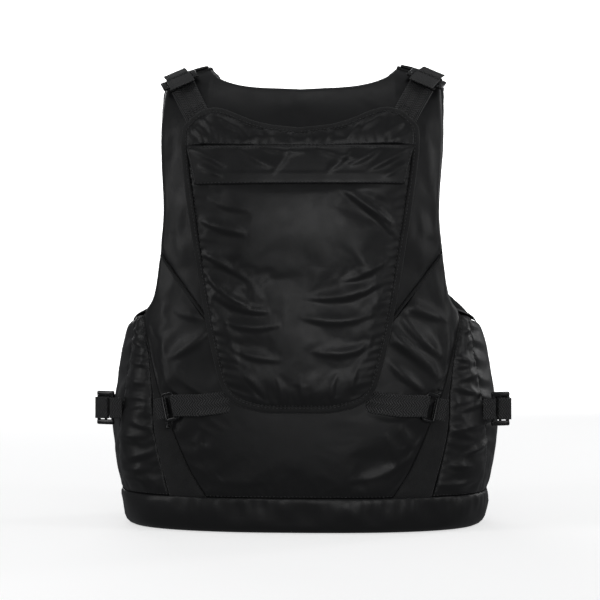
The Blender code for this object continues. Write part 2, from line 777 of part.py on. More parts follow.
def add_shoulders():
    pivot, anchor = (146, 521), (112, 462)
    lift = 2 * STRAP_LIFT + 0.4
    right = frame_at(*pivot, anchor, lift)
    right = right @ Matrix.Rotation(math.pi, 4, "Z")
    for side, place in (("right", right), ("left", flipped(right))):
        add_ladder_lock("shoulder_lock_" + side, place, SHOULDER_WEB)
        ribbon("shoulder_strap_end_" + side, lock_path(16, 30), SHOULDER_WEB, webbing, place)
        ribbon("shoulder_tab_" + side, tab_path(5, 24), SHOULDER_WEB - 2, webbing, place)
    bar = right @ (Vector((0, -(LOCK_BAR + LOCK_SLOT) - 16.6, -STRAP_LIFT)) * MM) / MM
    middle = (bar.x * 0.5 + anchor[0] * 0.5, bar.z * 0.5 + anchor[1] * 0.5)
    strap = surface_path((anchor, middle), (2.2, 2.9))
    strap.append((bar, strap[-1][1]))
    ribbon("shoulder_strap_right", strap, SHOULDER_WEB, webbing)
    ribbon("shoulder_strap_left", mirror_path(strap), SHOULDER_WEB, webbing)
    rows = []
    for rise in (735, 757, 779, BACK_DOME_TOP):
        rows.append([spot_at_rise(x, rise) for x in (163, 151, 138, 125, 112)][::-1])
    for rise in (FRONT_DOME_TOP - 22, FRONT_DOME_TOP - 44, FRONT_DOME_TOP - 66, FRONT_DOME_TOP - 88):
        rows.append([spot_at_rise(x, rise, True) for x in (163, 151, 138, 125, 112)][::-1])
    add_pair("shoulder_cap", rows, 4.6, 1.2, nylon)


def mirror_path(path):
    flip = Vector((-1, 1, 1))
    return [(Vector(centre) * flip, Vector(normal) * flip) for centre, normal in path]


def add_lower_straps():
    bar = Vector((140, 144))
    place = frame_at(*bar, (180, 134), 6.2)
    half = HOOK_HEIGHT / 2
    across = (-half, -half + HOOK_WIRE, half - HOOK_WIRE, half)
    along = (-HOOK_WIRE / 2, HOOK_WIRE / 2, HOOK_WIDTH - HOOK_WIRE * 1.5, HOOK_WIDTH - HOOK_WIRE / 2)
    for side, spin in (("right", place), ("left", flipped(place))):
        hook = cell_plate("hook_buckle_" + side, across, along, {(1, 1)}, HOOK_WIRE, plastic, spin, 0.9)
        add_knob(hook, spin, (-half - 2.4, along[-1] - HOOK_WIRE / 2, 0))
    reach = HOOK_WIRE / 2 + 1.4
    loop = [((0, -24, -reach), (0, 0, -1)), ((0, -2, -reach), (0, 0, -1))]
    for k in range(1, 6):
        bend = math.pi * k / 6
        out = (0, math.sin(bend), -math.cos(bend))
        loop.append(((0, math.sin(bend) * (reach + 0.2), -math.cos(bend) * reach), out))
    loop += [((0, -2, reach), (0, 0, 1)), ((0, -26, reach + 0.3), (0, 0, 1))]
    turn = place.to_3x3()
    path = [(place @ (Vector(centre) * MM) / MM, turn @ Vector(normal)) for centre, normal in loop]
    path = path[-2:0:-1]
    under = surface_path(((70, 150), (88, 148), (112, 145)), (2.2, 2.4, 4.5, 9.6), steps=3)
    strap = under + path
    ribbon("lower_strap_right", strap, LOWER_WEB, webbing)
    ribbon("lower_strap_left", mirror_path(strap), LOWER_WEB, webbing)
    tab = surface_path(((151, 141.5), (166, 138)), (1.6, 1.6), steps=3)
    ribbon("lower_tab_right", tab, LOWER_WEB, webbing)
    ribbon("lower_tab_left", mirror_path(tab), LOWER_WEB, webbing)


def add_knob(hook, place, centre):
    """The gate's knob at one end of the hook's outer bar, made one body with it."""
    profile = ((2.6, -3.4), (3.2, -2.2), (2.0, -0.6), (2.0, 0.6), (3.0, 2.2), (2.2, 3.4))
    sides = 10
    points = [
        (y, math.cos(2 * math.pi * k / sides) * r, math.sin(2 * math.pi * k / sides) * r)
        for r, y in profile for k in range(sides)
    ]
    faces = [tuple(range(sides)), tuple(range(len(points) - sides, len(points)))]
    for ring in range(len(profile) - 1):
        for k in range(sides):
            a, b = ring * sides + k, ring * sides + (k + 1) % sides
            faces.append((a, b, b + sides, a + sides))
    shift = Matrix.Translation(Vector(centre) * MM)
    knob = solid(hook.name + "_knob", points, faces, plastic, place @ shift)
    join(hook, knob)


def join(obj, other):
    """A Boolean union with a helper that isn't a part of its own."""
    other.hide_render = True
    other.display_type = "WIRE"
    union = obj.modifiers.new("union", "BOOLEAN")
    union.operation = "UNION"
    union.solver = "EXACT"
    union.object = other


def add_side_straps():
    seam = torso(*spot(212, 138))
    out = Vector((0.9, 0.43, 0)).normalized()
    normal = Vector((0.43, -0.9, 0)).normalized()
    pivot = Vector((221.5, seam.y - 2, 138))
    place = frame_of(pivot, -out, normal)
    for side, spin in (("right", place), ("left", flipped(place))):
        add_ladder_lock("side_lock_" + side, spin, SIDE_WEB)
        ribbon("side_strap_end_" + side, lock_path(9, 13), SIDE_WEB, webbing, spin)
        ribbon("side_tab_" + side, tab_path(7, 14), SIDE_WEB - 1, webbing, spin)
    end = place @ (Vector((0, -(LOCK_BAR + LOCK_SLOT) - 9.8, -STRAP_LIFT)) * MM) / MM
    ahead = end + out * 3.0
    swing = ((end.x, end.y), (ahead.x, ahead.y), (ahead.x + 0.5, ahead.y + 8), (242, -22))
    along = [torso(angle, 138) + outward(angle, 138) * 3.2 for angle in (90, 98, 108, 118, 130)]
    path = level_path(rounded(swing + tuple((point.x, point.y) for point in along), 2), 138)
    ribbon("side_strap_right", path, SIDE_WEB, webbing)
    ribbon("side_strap_left", mirror_path(path), SIDE_WEB, webbing)


# The front zip.


def extruded(name, outline, low, high, look, place=None):
    """An outline in the x-y plane drawn up from one height to another."""
    count = len(outline)
    points = [(x, y, z) for z in (low, high) for x, y in outline]
    faces = [tuple(range(count))[::-1], tuple(range(count, 2 * count))]
    faces += [(i, (i + 1) % count, count + (i + 1) % count, count + i) for i in range(count)]
    return solid(name, points, faces, look, place)


def add_zip():
    half = TOOTH_THICK / 2
    tape = 0.5
    outline = (
        (TOOTH_IN, -half), (TOOTH_OUT, -half), (TOOTH_OUT, -tape), (ZIP_HALF - 0.6, -tape),
        (ZIP_HALF - 0.6, tape), (TOOTH_OUT, tape), (TOOTH_OUT, half), (TOOTH_IN, half),
    )
    right = [(x, y + ZIP_PLANE) for x, y in outline]
    left = [(-x, y) for x, y in right[::-1]]
    extruded("zip_tape_right", right, ZIP_BOTTOM, ZIP_TOP, plastic)
    extruded("zip_tape_left", left, ZIP_BOTTOM, ZIP_TOP, plastic)
    place = Matrix.Translation(Vector((0, ZIP_PLANE, SLIDER_HEIGHT)) * MM)
    plate_half, inside, face, web = 6, 2.2, 3.8, 0.8
    outline = (
        (-plate_half, -face), (plate_half, -face), (plate_half, -inside), (web, -inside),
        (web, inside), (plate_half, inside), (plate_half, face), (-plate_half, face),
        (-plate_half, inside), (-web, inside), (-web, -inside), (-plate_half, -inside),
    )
    slider = extruded("zip_slider", outline, -7, 7, plastic, place)
    arch = ((3.4, -5.6), (8.0, -4.6), (8.0, 4.6), (3.4, 5.6), (3.4, 4.0), (6.9, 3.6), (6.9, -3.6), (3.4, -4.0))
    bail_points = [(x, y, z) for x in (-1.6, 1.6) for y, z in arch]
    count = len(arch)
    faces = [tuple(range(count)), tuple(range(count, 2 * count))[::-1]]
    faces += [(i, (i + 1) % count, count + (i + 1) % count, count + i) for i in range(count)]
    join(slider, solid("zip_bail", bail_points, faces, plastic, place))
    hinge = Matrix.Translation(Vector((0, ZIP_PLANE + 5.3, SLIDER_HEIGHT)) * MM)
    hinge = hinge @ Matrix.Rotation(math.pi / 2, 4, "X")
    cell_plate("zip_pull", (-4.2, -2.3, 2.3, 4.2), (-30, -8, -1.0, 1.0), {(1, 1)}, 1.4, plastic, hinge, 0.25)


def main():
    clear_scene()
    add_back_shells()
    add_side_bands()
    add_side_panels()
    add_front_shells()
    add_foams()
    add_linings()
    add_hem()
    add_bindings()
    add_piping()
    add_pocket()
    add_flap()
    add_shoulders()
    add_lower_straps()
    add_side_straps()
    add_zip()


main()
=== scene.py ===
"""Looks of the buoyancy vest: cloth panels, webbing, buckles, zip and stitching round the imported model.

Lengths are in millimetres in the vest's own frame and become metres when a mesh is made. A place on
the vest is a pair (angle, rise), as in the model's own design: the angle in degrees runs from 0 at
the middle of the back through 90 at the side to 180 at the front, and the rise is the height up to
where the shoulder dome starts, and goes on evenly over the dome.
"""

import json
import math

import bmesh
import bpy
import numpy as np
from mathutils import Matrix, Vector

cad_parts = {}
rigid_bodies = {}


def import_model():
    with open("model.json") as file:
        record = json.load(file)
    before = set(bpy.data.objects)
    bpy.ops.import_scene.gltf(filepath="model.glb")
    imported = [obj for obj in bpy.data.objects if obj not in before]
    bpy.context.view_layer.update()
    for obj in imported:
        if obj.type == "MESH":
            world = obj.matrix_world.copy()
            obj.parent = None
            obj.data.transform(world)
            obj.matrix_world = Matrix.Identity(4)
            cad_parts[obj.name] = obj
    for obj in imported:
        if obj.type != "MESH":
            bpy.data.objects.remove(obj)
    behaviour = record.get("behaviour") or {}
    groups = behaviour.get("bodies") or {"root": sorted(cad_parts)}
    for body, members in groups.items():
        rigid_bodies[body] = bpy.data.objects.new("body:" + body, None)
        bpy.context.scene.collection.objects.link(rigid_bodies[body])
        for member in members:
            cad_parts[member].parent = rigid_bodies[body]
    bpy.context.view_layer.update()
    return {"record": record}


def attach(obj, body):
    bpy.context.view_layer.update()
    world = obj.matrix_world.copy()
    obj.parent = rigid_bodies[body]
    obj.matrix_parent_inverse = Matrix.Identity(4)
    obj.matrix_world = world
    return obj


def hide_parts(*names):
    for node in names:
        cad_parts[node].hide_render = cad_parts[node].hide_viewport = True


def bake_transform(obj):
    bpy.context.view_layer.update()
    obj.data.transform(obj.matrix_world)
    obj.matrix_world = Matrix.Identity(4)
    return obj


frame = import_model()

MM = 0.001

# The torso, as in the model.
WIDTHS = (
    (0, 210), (14, 214), (45, 219), (113, 228), (150, 225), (200, 217), (231, 211), (262, 205), (300, 203),
)
BACK_DEPTHS = ((0, 127), (30, 131), (113, 135), (200, 133), (300, 128))
FRONT_DEPTH = 140.25
ROUNDNESS = 2.5
BACK_DOME_START, BACK_DOME_TOP = 300, 800
FRONT_DOME_START, FRONT_DOME_TOP = 420, 660
FRONT_SEAM_RISE = 657.5
CREST_HEIGHT, CREST_SLOPE = 541, 0.28
NECK_HALF, ARM_HALF = 108, 165
# Foam thickness at heights. The shell cloth lies over its outside and the lining behind its inside.
FOAMS = ((380, 14), (470, 9), (541, 4))
SHELL_DEPTH, LINING_GAP = 3.9, 3.4

# Pattern lines of the right half, as (half width, height). No height means the shoulder line.
NECKLINE = ((0, 511), (62, 515), (95, 526), (NECK_HALF, None))
FRONT_NECKLINE = ((16, 436), (58, 448), (90, 486), (NECK_HALF, None))
BACK_ARMHOLE = ((184, 252), (171, 272), (165, 320), (161, 370), (166, 450), (ARM_HALF, None))
FRONT_ARMHOLE = ((172, 274), (163, 320), (156, 370), (160, 440), (ARM_HALF, None))
PIPING_SEAM = ((165, 320), (97, 232), (55, 212), (0, 206))
BAND_INNER = ((106, 40), (125, 70), (150, 130), (163, 160), (175, 205), (184, 250))
BAND_OUTER = ((150, 40), (163, 88), (170, 157), (176, 205), (185.5, 249))
SIDE_SEAM = ((209, 40), (215, 80), (213, 120), (207, 160), (200, 205), (193.5, 245))
FRONT_SEAM = ((172, 40), (182, 110), (180, 200), (172, 274))
SIDE_DIP = 238
ZIP_HALF = 16

POCKET = (
    (0, 457), (45, 463), (94, 479.5), (122, 467), (131, 435),
    (113, 300), (95, 200), (79, 155), (44, 139), (0, 137),
)
POCKET_TOP_CORNER, POCKET_BOTTOM_CORNER = 3, 7
POCKET_STANDOFF, POCKET_FLARE = 1.8, 5.0
POCKET_RIM, POCKET_BULGE = 6.0, 6.0
FLAP_TOP, FLAP_BOTTOM = 436, 393
FLAP_HALF_TOP, FLAP_HALF_BOTTOM = 124.5, 114
MOUTH_TOP = 431

CAP_INNER, CAP_OUTER = 110, 164
CLOTH, FRAMES, GATHER_REACH = 0.7, 26, 22
STITCH, STITCH_GAP, THREAD_RADIUS = 2.7, 1.6, 0.5

SHOULDER_WEB, SIDE_WEB, LOWER_WEB = 30, 25, 25
WEB_THICK, WEB_ROUNDING, WEB_STEP = 1.5, 0.45, 0.8
RIB, RIB_COLUMN = 2.4, 4.2
LOCK_THICK, LOCK_BAR, LOCK_SLOT, LOCK_SIDE = 4.0, 3.0, 6.4, 6.0
LOCK_PITCH = LOCK_BAR + LOCK_SLOT
STRAP_LIFT = 3.2
SIDE_STRAP_HEIGHT = 138
SIDE_LOCK_OUT = Vector((0.9, 0.43, 0)).normalized()
SIDE_LOCK_FACE = Vector((0.43, -0.9, 0)).normalized()
HOOK_HEIGHT, HOOK_WIDTH, HOOK_WIRE = 34, 17, 3.4

ZIP_TOP, ZIP_BOTTOM = 433, 3
ZIP_PLANE = FRONT_DEPTH - 3.0
TOOTH_PITCH = 2.9


# The torso surface. Spots are arrays whose last axis is (angle, rise).


def between(table, at):
    """A smooth curve through (position, value) stations, level beyond its ends."""
    keys, values = np.array(table, float).T
    at = np.clip(at, keys[0], keys[-1])
    last = len(keys) - 1
    i = np.clip(np.searchsorted(keys, at, side="right") - 1, 0, last - 1)
    before, after = np.maximum(i - 1, 0), np.minimum(i + 2, last)
    width = keys[i + 1] - keys[i]
    slope0 = (values[i + 1] - values[before]) / (keys[i + 1] - keys[before])
    slope1 = (values[after] - values[i]) / (keys[after] - keys[i])
    t = (at - keys[i]) / width
    ends = values[i] * (1 + 2 * t) * (1 - t) ** 2 + values[i + 1] * t * t * (3 - 2 * t)
    return ends + slope0 * width * t * (1 - t) ** 2 + slope1 * width * t * t * (t - 1)


def crest(x):
    return CREST_HEIGHT - CREST_SLOPE * np.maximum(np.abs(x) - NECK_HALF, 0)


def torso(spots):
    """Points of the outer surface at spots."""
    angle, rise = spots[..., 0], spots[..., 1]
    front = np.abs(angle) > 90
    across = np.abs(np.sin(np.radians(angle))) ** (2 / ROUNDNESS)
    along = np.abs(np.cos(np.radians(angle))) ** (2 / ROUNDNESS)
    start = np.where(front, FRONT_DOME_START, BACK_DOME_START)
    top = np.where(front, FRONT_DOME_TOP, BACK_DOME_TOP)
    x = np.sign(angle) * between(WIDTHS, rise) * across
    depth = np.where(front, FRONT_DEPTH, between(BACK_DEPTHS, rise))
    over = np.clip((rise - start) / (top - start), 0, 1)
    climb = 1 - (1 - over) ** 2
    z = np.where(rise > start, start + (crest(x) - start) * climb, rise)
    power = np.where(front, 2, 3)
    depth = depth * np.sqrt(np.maximum(1 - climb**power, 0))
    return np.stack([x, np.where(front, depth, -depth) * along, z], axis=-1)


def unit(vectors):
    return vectors / np.maximum(np.linalg.norm(vectors, axis=-1, keepdims=True), 1e-9)


def outward(spots):
    """The surface's directions, level on the body so that rows keep their height."""
    step, climb = np.array([0.05, 0]), np.array([0, 0.5])
    sideways = torso(spots + step) - torso(spots - step)
    upwards = torso(spots) - torso(spots - climb)
    normal = unit(np.cross(sideways, upwards))
    normal[..., 2] *= np.clip((spots[..., 1] - 240) / 100, 0, 1)
    return unit(normal)


def spot(x, z, front=False):
    """The (angle, rise) of a half width and a height. No height means the shoulder line."""
    start, top = (FRONT_DOME_START, FRONT_DOME_TOP) if front else (BACK_DOME_START, BACK_DOME_TOP)
    rise = top if z is None else z
    if z is not None and z > start:
        climb = min((z - start) / (crest(x) - start), 1)
        rise = start + (top - start) * (1 - math.sqrt(1 - climb))
    if front:
        rise = min(rise, FRONT_SEAM_RISE)
    return spot_at_rise(x, rise, front)


def spot_at_rise(x, rise, front=False):
    share = min(abs(x) / float(between(WIDTHS, rise)), 1)
    angle = math.degrees(math.asin(share ** (ROUNDNESS / 2)))
    return (math.copysign(180 - angle if front else angle, x), rise)


def line(points, front=False, shift=(0, 0)):
    """Pattern points as spots, each moved by shift."""
    dx, dz = shift
    return np.array([spot(x + dx, None if z is None else z + dz, front) for x, z in points], float)


def rounded(points, steps=8):
    """A smooth curve through 2-D pattern points, ends included."""
    chain = [Vector((x, float(crest(x)) if z is None else z)) for x, z in points]
    ends = [2 * chain[0] - chain[1]] + chain + [2 * chain[-1] - chain[-2]]
    out = []
    for a, b, c, d in zip(ends, ends[1:], ends[2:], ends[3:]):
        square, cube = 2 * a - 5 * b + 4 * c - d, 3 * b - a - 3 * c + d
        for k in range(steps):
            t = k / steps
            out.append(0.5 * (2 * b + (c - a) * t + square * t**2 + cube * t**3))
    return [tuple(point) for point in out] + [tuple(chain[-1])]


def run_of(points, least=0.0):
    """The distance along a chain of points. A step may count for a little more than its length."""
    return np.concatenate([[0], np.cumsum(np.linalg.norm(np.diff(points, axis=0), axis=1) + least)])


def read_at(goals, reach, values):
    """The rows of values at distances along a chain."""
    return np.stack([np.interp(goals, reach, column) for column in values.T], axis=-1)


def resample(chain, count):
    """count + 1 spots evenly along a chain, by the distance on the surface."""
    reach = run_of(torso(chain), least=1e-6)
    return read_at(np.linspace(0, reach[-1], count + 1), reach, chain)


def length_of(chain):
    return float(np.linalg.norm(np.diff(torso(chain), axis=0), axis=1).sum())


def flip(chain):
    """The mirror image of a chain or grid, still running left to right."""
    image = chain * np.array([-1, 1])
    return image[:, ::-1] if chain.ndim == 3 else image


def both_halves(chain):
    """A chain that starts on the middle line, with its mirror image before it."""
    return np.concatenate([flip(chain)[::-1], chain[1:]])


def patch(bottom, top, left, right, cell):
    """A grid of spots that fills four edge chains, with cells of about that size."""
    columns = max(int(max(length_of(bottom), length_of(top)) / cell), 4)
    rows = max(int(max(length_of(left), length_of(right)) / cell), 4)
    b, t = resample(bottom, columns)[None], resample(top, columns)[None]
    l, r = resample(left, rows)[:, None], resample(right, rows)[:, None]
    u = np.linspace(0, 1, columns + 1)[None, :, None]
    v = np.linspace(0, 1, rows + 1)[:, None, None]
    low_corners = (1 - u) * (1 - v) * b[:, :1] + u * (1 - v) * b[:, -1:]
    corners = low_corners + (1 - u) * v * t[:, :1] + u * v * t[:, -1:]
    return (1 - v) * b + v * t + (1 - u) * l + u * r - corners


def edge_distances(places):
    """Distances of each grid point from the grid's left, right, bottom and top edge."""
    across = np.linalg.norm(np.diff(places, axis=1), axis=2)
    along = np.linalg.norm(np.diff(places, axis=0), axis=2)
    left = np.pad(np.cumsum(across, axis=1), ((0, 0), (1, 0)))
    bottom = np.pad(np.cumsum(along, axis=0), ((1, 0), (0, 0)))
    return {"left": left, "right": left[:, -1:] - left, "bottom": bottom, "top": bottom[-1:] - bottom}


def flat_measure(places):
    """Where each grid point lies on the flat cloth, in metres."""
    sides = edge_distances(places)
    return np.stack([sides["left"], sides["bottom"]], axis=-1) * MM


def gap_to(places, chain):
    """Distances of grid points from the nearest point of a chain."""
    nearest = np.full(places.shape[:-1], 99.0)
    for start in range(0, len(chain), 40):
        part = np.linalg.norm(places[..., None, :] - chain[start : start + 40], axis=-1)
        nearest = np.minimum(nearest, part.min(axis=-1))
    return nearest


def armhole_ring():
    """The right armhole's edge: down the back, under the arm, up the front to the shoulder."""
    under = np.array([(80, 243), (90, SIDE_DIP), (100, SIDE_DIP + 4)], float)
    back = line(rounded(BACK_ARMHOLE))[::-1]
    front = line(rounded(FRONT_ARMHOLE), front=True)
    rest = np.concatenate([back[-1:], under, front])
    return np.concatenate([resample(back, 120), resample(rest, 170)[1:-1]])


def neck_chain():
    """The neck's edge from the zip's left side round the back to its right side."""
    back = resample(line(rounded(NECKLINE)), 60)
    front = resample(line(rounded(FRONT_NECKLINE), front=True)[::-1], 120)
    return both_halves(np.concatenate([back[:-1], front]))


ARMHOLE = armhole_ring()
NECK = neck_chain()
LOOSE_EDGES = np.concatenate([torso(ARMHOLE), torso(flip(ARMHOLE)), torso(NECK)])


def rim_distances(places):
    """How far grid points are from the grid's sewn edges, and from its loose ones."""
    rim = np.concatenate([places[0], places[-1], places[1:-1, 0], places[1:-1, -1]])
    is_loose = gap_to(rim, LOOSE_EDGES) < 3.5
    return gap_to(places, rim[~is_loose]), gap_to(places, rim[is_loose])


# Meshes.


def add_mesh(name, points, faces, material, uv=None):
    """A smooth mesh object from points in millimetres."""
    mesh = bpy.data.meshes.new(name)
    mesh.vertices.add(len(points))
    mesh.vertices.foreach_set("co", (np.asarray(points, float) * MM).ravel())
    sizes = np.array([len(face) for face in faces], np.int32)
    mesh.loops.add(int(sizes.sum()))
    mesh.polygons.add(len(faces))
    corners = np.concatenate([np.asarray(face) for face in faces]).astype(np.int32)
    mesh.loops.foreach_set("vertex_index", corners)
    mesh.polygons.foreach_set("loop_start", np.concatenate([[0], np.cumsum(sizes)[:-1]]).astype(np.int32))
    if uv is not None:
        layer = mesh.uv_layers.new(name="UVMap")
        layer.data.foreach_set("uv", np.asarray(uv, float)[corners].ravel())
    mesh.update(calc_edges=True)
    mesh.validate()
    obj = bpy.data.objects.new(name, mesh)
    bpy.context.collection.objects.link(obj)
    mesh.materials.append(material)
    mesh.shade_smooth()
    return obj


def stand_for(piece, node, body="vest"):
    """Lets a piece take a node's place and move with a body."""
    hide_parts(node)
    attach(piece, body)


def grid_faces(rows, columns, wrap=False):
    """Quads of a grid of points, row after row."""
    j, i = np.meshgrid(np.arange(rows - 1), np.arange(columns if wrap else columns - 1), indexing="ij")
    a, b = j * columns + i, j * columns + (i + 1) % columns
    return np.stack([a, b, b + columns, a + columns], axis=-1).reshape(-1, 4)


def grid_normals(places):
    """Directions of a grid surface, from its own shape."""
    across = np.gradient(places, axis=1)
    along = np.gradient(places, axis=0)
    return unit(np.cross(across, along))


def slab(name, outer, inner, material, uv=None):
    """A closed piece between two grids of points, with its rim. Its measure is the outer grid's own."""
    rows, columns = outer.shape[:2]
    layer = rows * columns
    top = grid_faces(rows, columns)
    index = np.arange(layer).reshape(rows, columns)
    ring = np.concatenate([index[0, :-1], index[:-1, -1], index[-1, :0:-1], index[:0:-1, 0]])
    after = np.roll(ring, -1)
    rim = np.stack([ring, ring + layer, after + layer, after], axis=-1)
    faces = np.concatenate([top, top[:, ::-1] + layer, rim])
    points = np.concatenate([outer.reshape(-1, 3), inner.reshape(-1, 3)])
    uv = flat_measure(outer) if uv is None else uv
    return add_mesh(name, points, faces, material, np.concatenate([uv.reshape(-1, 2)] * 2))


def declare_sheet(places, cut=1.01):
    """Works out how large a sheet was cut, its width, height and area, from its place on the vest and the
    slack; the results are not used.
    """
    sides = edge_distances(places)
    width, height = sides["left"][:, -1].max() * cut, sides["bottom"][-1].max() * cut
    across, along = places[1:, 1:] - places[:-1, :-1], places[1:, :-1] - places[:-1, 1:]
    area = np.linalg.norm(np.cross(across, along), axis=-1).sum() / 2 * cut**2
    area = min(max(area, 0.31 * width * height), width * height)


# Cloth panels.


class Panel:
    """A cloth panel: its sculpted surface and, once draped, its settled one.

    It is sunk by dip at its seams, stands out by puff within settle of them, and rolls over at its loose
    edges. Folds and puckers (side, pitch, height, reach) are sculpted in. The cloth is cut larger than its
    place by slack, or edge_slack near its seams, and settles between low and high of where it started.
    """

    def __init__(self, name, grid, material, lift=0.0, puff=1.5, settle=9.0, dip=2.0, roll=8.0, slack=0.02,
                 edge_slack=None, low=-2.5, high=6.0, folds=(), puckers=(), grain=0.14, ceiling=None):
        self.name, self.material = name, material
        self.slack, self.edge_slack = slack, edge_slack or slack
        self.low, self.high = low, high
        self.flat = torso(grid)
        if ceiling is not None:
            self.high = ceiling(self.flat)[..., None]
        self.normal = outward(grid)
        seam, loose = rim_distances(self.flat)
        offset = puff * (1 - np.exp(-seam / settle)) - dip * np.exp(-seam / (settle * 0.35))
        near = np.clip(loose / roll, 0, 1)
        offset += roll * (np.sqrt(1 - (1 - near) ** 2) - 1)
        offset = offset + (lift(self.flat) if callable(lift) else lift)
        fade = np.clip(np.minimum(seam, loose) / 8, 0, 1)
        for fold in folds:
            offset = offset + fade * fold_height(self.flat, *fold)
        offset = offset + fade * grain * ripple(self.flat)
        self.seam = seam
        sides = edge_distances(self.flat)
        for side, pitch, height, reach in puckers:
            offset = offset + pucker(self.flat, sides[side], seam, side, pitch, height, reach)
        self.places = self.flat + self.normal * offset[..., None]

    def hang(self):
        """Makes the cloth, held at its edges."""
        rows, columns = self.places.shape[:2]
        points, faces = self.places.reshape(-1, 3), grid_faces(rows, columns)
        self.cloth = add_mesh(self.name + "_hung", points, faces, self.material)
        rim = np.ones((rows, columns), bool)
        rim[1:-1, 1:-1] = False
        held = self.cloth.vertex_groups.new(name="held")
        held.add([int(k) for k in np.flatnonzero(rim.ravel())], 1.0, "REPLACE")
        gathered = self.cloth.vertex_groups.new(name="gathered")
        for k, near in enumerate(np.exp(-((self.seam / GATHER_REACH) ** 2)).ravel()):
            gathered.add([k], float(near), "REPLACE")
        modifier = self.cloth.modifiers.new("cloth", "CLOTH")
        settings = modifier.settings
        settings.vertex_group_mass = "held"
        settings.vertex_group_shrink = "gathered"
        settings.shrink_min = -self.slack
        settings.shrink_max = -self.edge_slack
        settings.quality = 6
        settings.mass = 0.12
        settings.air_damping = 1.0
        settings.tension_stiffness = 25
        settings.compression_stiffness = 25
        settings.shear_stiffness = 8
        settings.bending_stiffness = 0.06
        settings.effector_weights.gravity = 0
        modifier.collision_settings.use_collision = False
        modifier.point_cache.frame_start = 1
        modifier.point_cache.frame_end = FRAMES

    def settle(self, graph):
        """Reads the draped cloth back, without its sharpest creases."""
        evaluated = self.cloth.evaluated_get(graph)
        mesh = evaluated.to_mesh()
        points = np.empty(len(mesh.vertices) * 3, np.float32)
        mesh.vertices.foreach_get("co", points)
        evaluated.to_mesh_clear()
        moved = points.reshape(self.places.shape).astype(float) / MM - self.places
        out = softened((moved * self.normal).sum(axis=-1, keepdims=True), 2)
        out = np.where(out > 0, self.high * np.tanh(out / self.high), self.low * np.tanh(out / self.low))
        self.places = self.places + out * self.normal
        bpy.data.objects.remove(self.cloth)

    def build(self):
        """The finished piece: a closed sheet of cloth that stands for its CAD solid."""
        inner = self.places - grid_normals(self.places) * CLOTH
        piece = slab(self.name + "_cloth", self.places, inner, self.material, flat_measure(self.flat))
        stand_for(piece, self.name)
        declare_sheet(self.flat, cut=1 + (self.slack + self.edge_slack) / 2)


def softened(field, times):
    """A field over a grid with its sharpest changes evened out, its rim kept."""
    for _ in range(times):
        inner = field[1:-1, 1:-1]
        around = (field[2:, 1:-1] + field[:-2, 1:-1] + field[1:-1, 2:] + field[1:-1, :-2]) / 4
        field = field.copy()
        field[1:-1, 1:-1] = inner * 0.4 + around * 0.6
    return field


def pucker(places, side_distance, seam, side, pitch, height, reach):
    """Small gathers that run in from a stitched edge, uneven in size and spacing."""
    along = places[..., 2] if side in ("left", "right") else places[..., 0]
    drift = 0.9 * np.sin(along / pitch * 0.83 + 1.3) + 0.7 * np.sin(along / pitch * 0.41)
    size = 0.65 + 0.35 * np.sin(along / pitch * 0.57 + 2.1)
    near = np.exp(-side_distance / reach) * (1 - np.exp(-seam / 2.2))
    return height * size * near * np.sin(2 * np.pi * along / pitch + drift + side_distance / reach)


def fold_height(places, start, middle, end, width, height):
    """A fold along a bent line of pattern points: it rises slowly from above and drops steeply below."""
    t = np.linspace(0, 1, 33)[:, None]
    a, b, c = (np.array(point, float) for point in (start, middle, end))
    route = (1 - t) ** 2 * a + 2 * t * (1 - t) * b + t * t * c
    ahead = np.gradient(route, axis=0)
    away = places[..., None, [0, 2]] - route
    gap = np.linalg.norm(away, axis=-1)
    nearest = gap.argmin(axis=-1)
    near = gap.min(axis=-1)
    offset = np.take_along_axis(away, nearest[..., None, None], axis=-2)[..., 0, :]
    run = ahead[nearest]
    above = (run[..., 0] * offset[..., 1] - run[..., 1] * offset[..., 0]) * np.sign(run[..., 0] + 1e-9) > 0
    along = np.sin(np.pi * t[nearest, 0])
    reach = width * (0.45 + 0.55 * along)
    return height * along**0.8 * np.exp(-((near / np.where(above, reach * 1.5, reach * 0.75)) ** 2))


def ripple(places):
    """Gentle unevenness, the same each run: a few waves in mixed directions."""
    total = np.zeros(places.shape[:2])
    waves = np.random.default_rng(11)
    for _ in range(10):
        direction = waves.normal(size=3)
        direction /= np.linalg.norm(direction)
        length = waves.uniform(14, 55)
        total += length / 30 * np.sin(places @ direction * 2 * np.pi / length + waves.uniform(0, 6.28))
    return total / 5


def drape(panels):
    for panel in panels:
        panel.hang()
    for step in range(1, FRAMES + 1):
        bpy.context.scene.frame_set(step)
    graph = bpy.context.evaluated_depsgraph_get()
    for panel in panels:
        panel.settle(graph)
    bpy.context.scene.frame_set(1)


# Materials.


